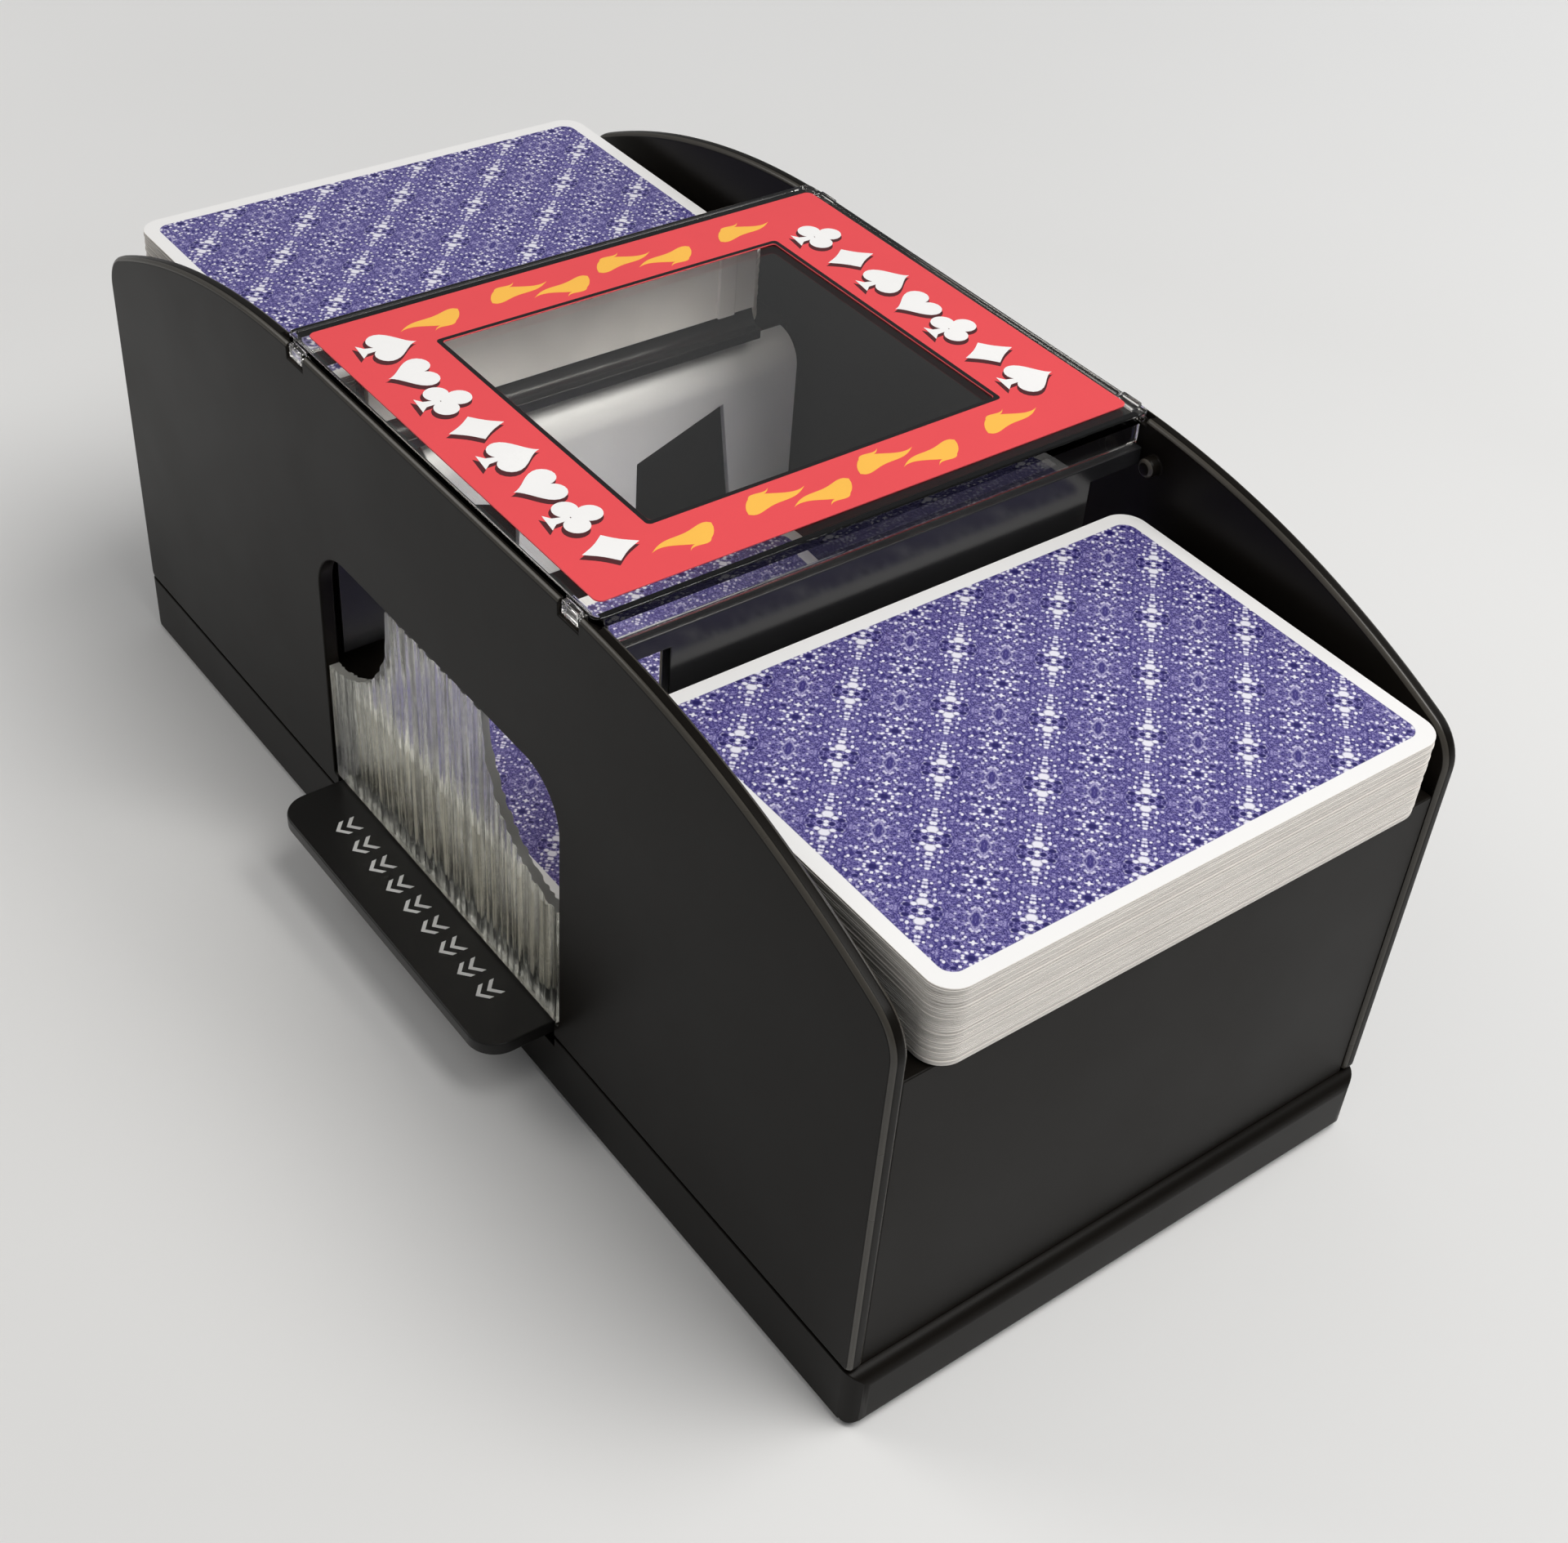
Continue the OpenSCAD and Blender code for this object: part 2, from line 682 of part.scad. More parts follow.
module press_bar() {
    seat() color([0.1, 0.1, 0.1]) difference() {
        union() {
            translate([0, 0, tab_z]) linear_extrude(tab_t) difference() {
                translate([-tab_w / 2, -half_w - tab_out]) square([tab_w, half_w + tab_out + pivot_y + 1.5]);
                for (s = [-1, 1]) translate([s * tab_w / 2, -half_w - tab_out]) difference() {
                    square(10, center = true);
                    translate([-s * 5, 5]) circle(5);
                    translate([-s * 10, 0]) square(10, center = true);
                    translate([0, 10]) square(10, center = true);
                }
            }
            for (s = [-1, 1]) {
                rod_x(pivot_y, pivot_z, s > 0 ? 19.4 : -28.2, s > 0 ? 28.2 : -19.4, knuckle_r);
                slab([s > 0 ? 19.4 : -28.2, pivot_y - 1.5, pivot_z], [s > 0 ? 28.2 : -19.4, pivot_y + 1.5, tab_z + 1]);
            }
        }
        rod_x(pivot_y, pivot_z, -60, 60, pivot_pin_r + run_gap);
        // room for the ears
        for (s = [-1, 1]) {
            slab([s > 0 ? 15.4 : -19.4, pivot_y - 3.2, pivot_z - 4], [s > 0 ? 19.4 : -15.4, pivot_y + 3, tab_z + tab_t + 1]);
            slab([s > 0 ? 28.2 : -40, pivot_y - 3.2, pivot_z - 4], [s > 0 ? 40 : -28.2, pivot_y + 3, tab_z + tab_t + 1]);
        }
    }
}

module press_bar_pins() {
    seat() color([0.7, 0.7, 0.72]) for (s = [-1, 1]) {
        rod_x(pivot_y, pivot_z, s > 0 ? 15.6 : -32, s > 0 ? 32 : -15.6, pivot_pin_r);
    }
}

module press_bar_springs() {
    spring_h = tab_z - pan_floor - 0.7;
    seat() color([0.7, 0.7, 0.72]) for (s = [-1, 1]) {
        translate([s * spring_x, spring_y, pan_floor + 0.35]) tube(coil(2.4, spring_h, 5, 12), 0.25, 6, [0, 0, 1]);
    }
}

module switch_body() {
    seat() color([0.1, 0.1, 0.1]) difference() {
        slab([-8, -45.5, pan_floor + fit_gap], [8, -38.5, pan_floor + 6.6]);
        slab([-2, -44, pan_floor + 4.6], [2, -40, pan_floor + 8]);
    }
}

module switch_button() {
    seat() color([0.8, 0.2, 0.15]) slab([-1.6, -43.6, pan_floor + 6], [1.6, -40.4, tab_z - 0.1]);
}

// ---- drive ----

module right_drive(part) {
    idler_phase = idler_angle + 180 + 180 / idler_small_teeth;
    roller_phase = idler_angle;
    if (part == "shaft") rod_y(roller_x, roller_z, -hanger_y - 5, gear_y + gear_w + 0.4, shaft_r);
    if (part == "hubs") for (s = [-1, 1]) difference() {
        rod_y(roller_x, roller_z, s * tyre_y - tyre_w / 2 - 0.5, s * tyre_y + tyre_w / 2 + 0.5, tyre_r - 3);
        rod_y(roller_x, roller_z, s * tyre_y - tyre_w, s * tyre_y + tyre_w, shaft_r);
    }
    if (part == "tyres") for (s = [-1, 1]) difference() {
        rod_y(roller_x, roller_z, s * tyre_y - tyre_w / 2, s * tyre_y + tyre_w / 2, tyre_r);
        rod_y(roller_x, roller_z, s * tyre_y - tyre_w, s * tyre_y + tyre_w, tyre_r - 3);
    }
    if (part == "roller_gear") difference() {
        gear(roller_x, roller_z, gear_y, gear_w, roller_teeth, roller_phase);
        rod_y(roller_x, roller_z, gear_y - 1, gear_y + gear_w + 1, shaft_r);
    }
    if (part == "idler_gear") difference() {
        union() {
            gear(idler_x, idler_z, gear_y - 0.4, big_y - gear_y + 0.4, idler_small_teeth, idler_phase);
            gear(idler_x, idler_z, big_y, big_w, idler_big_teeth, pinion_angle);
        }
        rod_y(idler_x, idler_z, gear_y - 2, big_y + big_w + 1, 1 + run_gap);
    }
    if (part == "idler_pin") {
        rod_y(idler_x, idler_z, hanger_y + 0.1, big_y + big_w + 0.7, 1);
        rod_y(idler_x, idler_z, big_y + big_w + 0.2, big_y + big_w + 0.9, 1.9);
    }
    if (part == "pinion") difference() {
        gear(motor_x, motor_z, big_y - 0.4, 3.4, pinion_teeth, pinion_angle + 180 + 180 / pinion_teeth);
        rod_y(motor_x, motor_z, big_y - 2, big_y + 5, 1);
    }
    if (part == "motor_shaft") rod_y(motor_x, motor_z, hanger_y - 4, big_y + 3.2, 1);
    if (part == "motor") difference() {
        union() {
            intersection() {
                rod_y(motor_x, motor_z, hanger_y - motor_len, hanger_y, motor_r);
                slab([motor_x - motor_flat / 2, 0, motor_z - motor_r], [motor_x + motor_flat / 2, 60, motor_z + motor_r]);
            }
            rod_y(motor_x, motor_z, hanger_y - 1, hanger_y + 1.6, 3);
            rod_y(motor_x, motor_z, hanger_y - motor_len - 1.2, hanger_y - motor_len + 1, 3.5);
            for (x = [72.5, 76.2]) slab([x - 0.4, 5.6, 43.8], [x + 0.4, hanger_y - motor_len + 0.5, 46.4]);
        }
        rod_y(motor_x, motor_z, hanger_y - 6, hanger_y + 2, 1 + run_gap);
        for (s = [-1, 1]) rod_y(motor_x, motor_z + s * 8, hanger_y - 3, hanger_y + 1, 0.95);
    }
    if (part == "bushes") {
        for (y = [-hanger_y - hanger_t, hanger_y]) difference() {
            union() {
                rod_y(roller_x, roller_z, y, y + hanger_t, 3);
                rod_y(roller_x, roller_z, y > 0 ? y - 0.7 : y + hanger_t, y > 0 ? y : y + hanger_t + 0.7, 4);
            }
            rod_y(roller_x, roller_z, y - 3, y + 6, shaft_r + run_gap);
        }
    }
    if (part == "motor_screws") for (s = [-1, 1]) {
        rod_y(motor_x, motor_z + s * 8, hanger_y - 2.5, hanger_y + hanger_t + 0.1, 0.9);
        rod_y(motor_x, motor_z + s * 8, hanger_y + hanger_t + 0.05, hanger_y + hanger_t + 1, 1.7);
    }
}

module right_roller_shaft() { seat() color([0.75, 0.75, 0.77]) right_drive("shaft"); }
module left_roller_shaft() { seat() color([0.75, 0.75, 0.77]) on_left() right_drive("shaft"); }
module right_roller_hubs() { seat() color([0.85, 0.85, 0.82]) right_drive("hubs"); }
module left_roller_hubs() { seat() color([0.85, 0.85, 0.82]) on_left() right_drive("hubs"); }
module right_roller_tyres() { seat() color([0.2, 0.2, 0.2]) right_drive("tyres"); }
module left_roller_tyres() { seat() color([0.2, 0.2, 0.2]) on_left() right_drive("tyres"); }
module right_roller_gear() { seat() color([0.9, 0.9, 0.88]) right_drive("roller_gear"); }
module left_roller_gear() { seat() color([0.9, 0.9, 0.88]) on_left() right_drive("roller_gear"); }
module right_idler_gear() { seat() color([0.9, 0.9, 0.88]) right_drive("idler_gear"); }
module left_idler_gear() { seat() color([0.9, 0.9, 0.88]) on_left() right_drive("idler_gear"); }
module right_motor() { seat() color([0.6, 0.6, 0.62]) right_drive("motor"); }
module left_motor() { seat() color([0.6, 0.6, 0.62]) on_left() right_drive("motor"); }
module right_motor_shaft() { seat() color([0.75, 0.75, 0.77]) right_drive("motor_shaft"); }
module left_motor_shaft() { seat() color([0.75, 0.75, 0.77]) on_left() right_drive("motor_shaft"); }
module right_motor_pinion() { seat() color([0.8, 0.65, 0.3]) right_drive("pinion"); }
module left_motor_pinion() { seat() color([0.8, 0.65, 0.3]) on_left() right_drive("pinion"); }

module both_sides(part) {
    right_drive(part);
    on_left() right_drive(part);
}

module idler_pins() { seat() color([0.75, 0.75, 0.77]) both_sides("idler_pin"); }
module shaft_bushes() { seat() color([0.75, 0.6, 0.3]) both_sides("bushes"); }
module motor_screws() { seat() color([0.7, 0.7, 0.72]) both_sides("motor_screws"); }

// ---- power ----

// Places the cells: alternate ones are turned end for end
module at_cells() {
    for (i = [0:3]) {
        translate([0, (i - 1.5) * cell_pitch, cell_z])
            if (i % 2 == 0) children(); else translate([box_x0 + box_x1, 0, 0]) mirror([1, 0, 0]) children();
    }
}

module battery_cells() {
    seat() color([0.75, 0.5, 0.2]) at_cells() {
        rod_x(0, 0, cell_x, cell_x + cell_l, cell_r);
        rod_x(0, 0, cell_x + cell_l - 0.5, cell_x + cell_l + nub_l, 2.75);
    }
}

module battery_contacts() {
    plate_t = 0.4;
    seat() color([0.75, 0.75, 0.75]) {
        // far end joins cells 1 to 2 and 3 to 4
        for (s = [-1, 1]) {
            slab([box_x1 - plate_t - 0.1, s * cell_pitch - 12, cell_z - 5], [box_x1 - 0.1, s * cell_pitch + 12, cell_z + 5]);
        }
        // near end joins cells 2 to 3, and carries a solder tab for each outer cell
        slab([box_x0 + 0.1, -12, cell_z - 5], [box_x0 + 0.1 + plate_t, 12, cell_z + 5]);
        for (s = [-1, 1]) {
            slab([box_x0 + 0.1, s * cell_pitch * 1.5 - 5, cell_z - 5],
                 [box_x0 + 0.1 + plate_t, s * cell_pitch * 1.5 + 5, cell_z + 5]);
            slab([box_x0 + 0.1, s * cell_pitch * 1.5 - 1.5, cell_z],
                 [box_x0 + 0.1 + plate_t, s * cell_pitch * 1.5 + 1.5, box_top + 5]);
        }
        at_cells() translate([box_x0 + 0.8, 0, 0]) rotate([0, 90, 0])
            tube(coil(3, cell_x - box_x0 - 1.3, 4, 10), 0.25, 6, [0, 0, 1]);
    }
}

wire_r = 0.6;

module red_wires() {
    seat() color([0.8, 0.1, 0.1]) {
        tube(spline([[47.9, 22.8, 22.4], [49, 26, 24], [50, 35, 20], [47, 35.8, 10.5], [42, 35.8, 8.2], [39, 30, 5.5],
                     [38.5, 0, 4.4], [38, -22, 4.4], [34, -34.8, 4.4], [14, -36, 4.4], [10.2, -39, 4.8],
                     [8.6, -41, 5]], 5), wire_r);
        tube(spline([[8.7, -44, 5.5], [11, -46.2, 5], [20, -46.9, 4.6], [32, -46.4, 4.6], [39, -40, 6.5], [43, -37.8, 8.6],
                     [48, -37.4, 12], [56, -37.8, 24], [66, -30, 36], [72.2, -8, 44], [72.5, 5, 45.7]], 5), wire_r);
        tube(spline([[-8.7, -44, 5.5], [-11, -46.2, 5], [-20, -46.9, 4.6], [-32, -46.4, 4.6], [-39, -40, 6.5],
                     [-43, -37.8, 8.6], [-48, -37.4, 12], [-56, -37.8, 24], [-66, -30, 36], [-72.2, -8, 44],
                     [-72.5, 5, 45.7]], 5), wire_r);
    }
}

module black_wires() {
    seat() color([0.1, 0.1, 0.1]) {
        tube(spline([[47.9, -22.8, 22.4], [50, -21, 26], [60, -12, 34], [72, -3, 40], [76.2, 5, 45.8]], 6), wire_r);
        tube(spline([[76.2, 5, 44.2], [78, 1, 38], [70, 16, 29], [56, 33, 25], [48, 39, 12], [42, 39, 8.6], [30, 39.5, 6],
                     [0, 39.5, 5], [-30, 39.5, 6], [-42, 39, 8.6], [-48, 39, 12], [-56, 33, 25], [-70, 16, 29],
                     [-78, 1, 38], [-76.2, 5, 44.2]], 5), wire_r);
    }
}

// ---- fasteners ----

module case_screws() {
    seat() color([0.7, 0.7, 0.72]) four() {
        rod_z(case_screw_x, case_screw_y, foot_h + 0.4, pan_floor, 2.9);
        rod_z(case_screw_x, case_screw_y, pan_floor - 0.2, 15.5, 1.4);
    }
}

module panel_screws() {
    seat() color([0.7, 0.7, 0.72]) four() for (z = panel_screw_z) {
        rod_y(panel_screw_x, z, 39.8, 41.4, 2.6);
        rod_y(panel_screw_x, z, 41.2, 47, 1.25);
    }
}

base_pan();
rubber_feet();
battery_door();
front_side_panel();
rear_side_panel();
right_card_tray();
left_card_tray();
right_gate();
left_gate();
right_card_stop();
left_card_stop();
right_feed_chute();
left_feed_chute();
bin_shelf();
top_cover();
cover_insert();
card_bin();
shuffled_cards();
right_deck();
left_deck();
press_bar();
press_bar_pins();
press_bar_springs();
switch_body();
switch_button();
right_roller_shaft();
left_roller_shaft();
right_roller_hubs();
left_roller_hubs();
right_roller_tyres();
left_roller_tyres();
right_roller_gear();
left_roller_gear();
shaft_bushes();
right_idler_gear();
left_idler_gear();
idler_pins();
right_motor();
left_motor();
right_motor_shaft();
left_motor_shaft();
right_motor_pinion();
left_motor_pinion();
battery_cells();
battery_contacts();
red_wires();
black_wires();
case_screws();
panel_screws();
motor_screws();
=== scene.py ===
"""Looks of the automatic card shuffler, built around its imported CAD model.

Pieces are made in millimetres about the machine's middle plane, then put into the row frame in metres.
"""

import math
import random

import bmesh
import bpy
import numpy as np
from mathutils import Matrix, Vector


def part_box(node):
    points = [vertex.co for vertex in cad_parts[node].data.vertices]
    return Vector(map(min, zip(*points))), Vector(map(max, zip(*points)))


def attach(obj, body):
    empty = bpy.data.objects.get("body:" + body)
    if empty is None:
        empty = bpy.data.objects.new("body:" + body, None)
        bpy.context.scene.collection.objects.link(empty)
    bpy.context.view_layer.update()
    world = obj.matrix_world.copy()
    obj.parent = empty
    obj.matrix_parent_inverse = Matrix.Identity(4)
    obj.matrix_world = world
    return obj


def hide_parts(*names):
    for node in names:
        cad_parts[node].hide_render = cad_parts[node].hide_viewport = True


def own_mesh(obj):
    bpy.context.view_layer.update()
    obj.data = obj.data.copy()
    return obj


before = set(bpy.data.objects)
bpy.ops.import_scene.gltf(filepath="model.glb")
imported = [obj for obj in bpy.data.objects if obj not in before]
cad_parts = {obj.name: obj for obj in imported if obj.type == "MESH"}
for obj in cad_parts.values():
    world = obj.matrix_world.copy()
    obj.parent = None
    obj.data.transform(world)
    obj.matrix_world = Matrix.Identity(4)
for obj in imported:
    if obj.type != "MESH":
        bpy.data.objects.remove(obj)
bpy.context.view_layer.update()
scene = bpy.context.scene
scene.view_settings.view_transform = "Standard"

MM = 0.001
MID_Y = (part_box("front_side_panel")[0].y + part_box("rear_side_panel")[1].y) / 2
TO_ROW = Matrix.Translation((0, MID_Y, 0)) @ Matrix.Scale(MM, 4)


def box_of(node):
    """Lowest and highest corner of a CAD node, in millimetres about the middle plane."""
    back = TO_ROW.inverted()
    lo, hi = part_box(node)
    return back @ lo, back @ hi


# ---- mesh helpers ----


def rounded(corners, step=8.0):
    """Outline through (x, y, radius) corners, with a fillet at each corner that has a radius."""
    out = []
    for i, (x, y, r) in enumerate(corners):
        b = Vector((x, y))
        a, c = Vector(corners[i - 1][:2]), Vector(corners[(i + 1) % len(corners)][:2])
        if r <= 0:
            out.append(b)
            continue
        u, v = (a - b).normalized(), (c - b).normalized()
        half = u.angle(v) / 2
        centre = b + (u + v).normalized() * (r / math.sin(half))
        start = b + u * (r / math.tan(half)) - centre
        end = b + v * (r / math.tan(half)) - centre
        turn = start.angle_signed(end)
        count = max(2, math.ceil(abs(math.degrees(turn)) / step))
        for k in range(count + 1):
            out.append(centre + Matrix.Rotation(-turn * k / count, 2) @ start)
    return out


def inset(points, d):
    """The same outline moved inwards by d; the outline runs anticlockwise."""
    out = []
    for i, b in enumerate(points):
        u = (b - points[i - 1]).normalized()
        v = (points[(i + 1) % len(points)] - b).normalized()
        n, m = Vector((-u.y, u.x)), Vector((-v.y, v.x))
        out.append(b + d * (n + m) / (1 + n.dot(m)))
    return out


PLANES = {"xy": lambda u, v, w: (u, v, w), "xz": lambda u, v, w: (u, w, v), "yz": lambda u, v, w: (w, u, v)}


def prism(points, plane, a, b, rim=0.0, steps=4):
    """Closed bmesh of an outline that reaches from a to b, with its rims rounded."""
    place = PLANES[plane]
    points = [Vector(p) for p in points]
    area = sum(p.x * q.y - q.x * p.y for p, q in zip(points, points[1:] + points[:1]))
    if area < 0:
        points.reverse()
    levels = [(0, a), (0, b)]
    if rim:
        quarter = [k / steps * math.pi / 2 for k in range(steps + 1)]
        levels = [(rim * (1 - math.sin(t)), a + rim * (1 - math.cos(t))) for t in quarter]
        levels += [(d, b - (w - a)) for d, w in reversed(levels)]
    bm = bmesh.new()
    rings = [[bm.verts.new(place(p.x, p.y, w)) for p in inset(points, d)] for d, w in levels]
    for low, high in zip(rings, rings[1:]):
        for i in range(len(low)):
            j = (i + 1) % len(low)
            bm.faces.new((low[i], low[j], high[j], high[i]))
    bm.faces.new(rings[0])
    bm.faces.new(rings[-1])
    bmesh.ops.recalc_face_normals(bm, faces=bm.faces)
    return bm


def block(lo, hi, rim=0.0):
    """Closed bmesh of a box, with the edges round its top and bottom rounded."""
    return prism([(lo[0], lo[1]), (hi[0], lo[1]), (hi[0], hi[1]), (lo[0], hi[1])], "xy", lo[2], hi[2], rim)


def ring(mid, u, v, radius, sides):
    """Points of a circle about mid, in the plane of u and v."""
    return [mid + radius * (math.cos(t) * u + math.sin(t) * v) for t in (2 * math.pi * k / sides for k in range(sides))]


def turned(profile, centre, axis, sides=64, marks=None):
    """Closed bmesh turned about an axis through centre.

    The profile is (along, radius) pairs, and marks gives each pair's material.
    """
    axis = Vector(axis).normalized()
    u = axis.orthogonal().normalized()
    v = axis.cross(u)
    centre = Vector(centre)
    bm = bmesh.new()
    rings = []
    for along, radius in profile:
        mid = centre + axis * along
        if radius < 1e-6:
            rings.append([bm.verts.new(mid)])
            continue
        rings.append([bm.verts.new(p) for p in ring(mid, u, v, radius, sides)])
    for n, (low, high) in enumerate(zip(rings, rings[1:])):
        for i in range(sides):
            j = (i + 1) % sides
            corners = [low[i % len(low)], low[j % len(low)], high[j % len(high)], high[i % len(high)]]
            face = bm.faces.new(list(dict.fromkeys(corners)))
            face.material_index = marks[n] if marks else 0
    bmesh.ops.recalc_face_normals(bm, faces=bm.faces)
    return bm


def sweep(points, radius, sides=12):
    """Closed bmesh of a round section along points."""
    points = [Vector(p) for p in points]
    bm = bmesh.new()
    rings, u = [], None
    for i, p in enumerate(points):
        along = (points[min(i + 1, len(points) - 1)] - points[max(i - 1, 0)]).normalized()
        u = along.orthogonal().normalized() if u is None else (u - along * u.dot(along)).normalized()
        v = along.cross(u)
        rings.append([bm.verts.new(q) for q in ring(p, u, v, radius, sides)])
    for low, high in zip(rings, rings[1:]):
        for i in range(sides):
            j = (i + 1) % sides
            bm.faces.new((low[i], low[j], high[j], high[i]))
    bm.faces.new(rings[0])
    bm.faces.new(rings[-1])
    bmesh.ops.recalc_face_normals(bm, faces=bm.faces)
    return bm


def merged(*parts):
    """One bmesh of several separate ones."""
    out = bmesh.new()
    for part in parts:
        mesh = bpy.data.meshes.new("part")
        part.to_mesh(mesh)
        out.from_mesh(mesh)
        part.free()
        bpy.data.meshes.remove(mesh)
    return out


def cad_mesh(*nodes):
    """bmesh of the CAD nodes' own shapes, with flat areas made whole again."""
    bm = bmesh.new()
    for node in nodes:
        bm.from_mesh(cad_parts[node].data)
    bm.transform(TO_ROW.inverted())
    bmesh.ops.remove_doubles(bm, verts=bm.verts, dist=0.002)
    bmesh.ops.dissolve_limit(bm, angle_limit=math.radians(0.3), verts=bm.verts, edges=bm.edges)
    bmesh.ops.recalc_face_normals(bm, faces=bm.faces)
    return bm


def loose(bm):
    """An object for a bmesh, still in millimetres."""
    mesh = bpy.data.meshes.new("loose")
    bm.to_mesh(mesh)
    bm.free()
    obj = bpy.data.objects.new("loose", mesh)
    scene.collection.objects.link(obj)
    return obj


def bake(obj):
    """Applies the object's modifiers."""
    graph = bpy.context.evaluated_depsgraph_get()
    mesh = bpy.data.meshes.new_from_object(obj.evaluated_get(graph), depsgraph=graph)
    old = obj.data
    obj.modifiers.clear()
    obj.data = mesh
    bpy.data.meshes.remove(old)
    return obj


def combine(obj, how, *others):
    """Adds the other bmeshes to obj, or cuts them out of it."""
    tools = [loose(o) for o in others]
    for tool in tools:
        m = obj.modifiers.new("combine", "BOOLEAN")
        m.operation, m.object, m.solver = how, tool, "EXACT"
    bake(obj)
    for tool in tools:
        mesh = tool.data
        bpy.data.objects.remove(tool)
        bpy.data.meshes.remove(mesh)
    return obj


def round_edges(obj, width, segments=3):
    """Adds a bevel to the object's sharp edges."""
    m = obj.modifiers.new("bevel", "BEVEL")
    m.width, m.segments, m.limit_method, m.angle_limit = width, segments, "ANGLE", math.radians(38)
    m.use_clamp_overlap = False
    return m


def piece(name, shape, body, slot, materials, replaces=(), bevel=0.0, segments=3, smooth=38.0, edge=None):
    """Finishes a piece: rounds its sharp edges, puts it in the row frame, and lets it ride on its body.

    A material given for the rounded edges goes on them as a lighter colour: a painted highlight.
    """
    materials = list(materials) if isinstance(materials, (list, tuple)) else [materials]
    obj = loose(shape) if isinstance(shape, bmesh.types.BMesh) else shape
    if bevel:
        m = round_edges(obj, bevel, segments)
        if edge:
            m.material = len(materials)
            materials.append(edge)
        bake(obj)
    obj.data.transform(TO_ROW)
    obj.data.polygons.foreach_set("use_smooth", [True] * len(obj.data.polygons))
    obj.data.set_sharp_from_angle(angle=math.radians(smooth))
    m = obj.modifiers.new("normals", "WEIGHTED_NORMAL")
    m.keep_sharp = True
    bake(obj)
    obj.name = obj.data.name = name
    for material in materials:
        obj.data.materials.append(material)
    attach(obj, body)
    if replaces:
        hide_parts(*replaces)
    return obj


# ---- material helpers ----


class Surface:
    """A node material that is built up step by step. Its coordinates are millimetres on the object."""

    def __init__(self, name, **values):
        self.material = bpy.data.materials.new(name)
        self.material.use_nodes = True
        self.tree = self.material.node_tree
        self.shader = self.tree.nodes["Principled BSDF"]
        for key, value in values.items():
            self.shader.inputs[key.replace("_", " ")].default_value = value
        where = self.add("ShaderNodeTexCoord").outputs["Object"]
        self.mm = self.add("ShaderNodeVectorMath", {0: where, "Scale": 1 / MM}, operation="SCALE").outputs[0]
        self.bumps = None

    def add(self, kind, inputs=None, **settings):
        node = self.tree.nodes.new(kind)
        for key, value in settings.items():
            setattr(node, key, value)
        for key, value in (inputs or {}).items():
            if isinstance(value, bpy.types.NodeSocket):
                self.tree.links.new(value, node.inputs[key])
            else:
                node.inputs[key].default_value = value
        return node

    def sum(self, operation, a, b=0.0, c=0.0):
        """The result of a maths node, whatever the operation."""
        return self.add("ShaderNodeMath", {0: a, 1: b, 2: c}, operation=operation).outputs[0]

    def noise(self, size, detail=3.0, stretch=(1, 1, 1), where=None, seed=0.0, rough=0.55):
        v = self.add("ShaderNodeVectorMath", {0: where or self.mm, 1: stretch}, operation="MULTIPLY").outputs[0]
        v = self.add("ShaderNodeVectorMath", {0: v, 1: (seed, seed * 1.7, seed * 0.6)}, operation="ADD").outputs[0]
        return self.add(
            "ShaderNodeTexNoise", {"Vector": v, "Scale": 1 / size, "Detail": detail, "Roughness": rough}
        ).outputs["Fac"]

    def spread(self, value, a, b, low=0.0, high=1.0):
        """value from a to b is mapped to low to high, and held there outside."""
        return self.add(
            "ShaderNodeMapRange", {"Value": value, "From Min": a, "From Max": b, "To Min": low, "To Max": high}
        ).outputs[0]

    def mix(self, factor, a, b):
        """Colour a where factor is 0, b where it is 1."""
        node = self.add("ShaderNodeMix", data_type="RGBA")
        for index, value in ((0, factor), (6, a), (7, b)):
            if isinstance(value, bpy.types.NodeSocket):
                self.tree.links.new(value, node.inputs[index])
            else:
                node.inputs[index].default_value = value if index == 0 else (*value, 1.0)
        return node.outputs[2]

    def set(self, name, value):
        self.tree.links.new(value, self.shader.inputs[name])

    def bump(self, height, depth):
        """Adds relief; depth is in millimetres."""
        inputs = {"Height": height, "Strength": 1.0, "Distance": depth * MM}
        if self.bumps:
            inputs["Normal"] = self.bumps
        self.bumps = self.add("ShaderNodeBump", inputs).outputs[0]
        self.set("Normal", self.bumps)


def shade(colour, k):
    return tuple(c * k for c in colour)


def plastic(name, colour, roughness, grain=0.006, **values):
    """Moulded plastic with a fine grain and a cloudy gloss."""
    s = Surface(name, Roughness=roughness, **values)
    cloud = s.noise(26, 3, seed=3)
    s.set("Base Color", s.mix(s.spread(cloud, 0.3, 0.7), shade(colour, 0.86), shade(colour, 1.16)))
    s.set("Roughness", s.spread(cloud, 0.25, 0.75, roughness - 0.04, roughness + 0.05))
    s.bump(s.noise(0.22, 2, seed=5), grain)
    return s.material


def grey_with_painted_shade(name, colour, dark, end):
    """Pale sheet with painted shade: a dark margin next to the front panel, up to Y = end, where the sheet lies in
    shadow.
    """
    s = Surface(name, Roughness=0.32)
    y = s.sum("SUBTRACT", s.add("ShaderNodeSeparateXYZ", {0: s.mm}).outputs[1], MID_Y / MM)
    base = s.mix(s.spread(s.noise(26, 3, seed=3), 0.3, 0.7), shade(colour, 0.9), colour)
    s.set("Base Color", s.mix(s.spread(y, end - 0.15, end + 0.15), dark, base))
    s.bump(s.noise(0.22, 2, seed=5), 0.003)
    return s.material


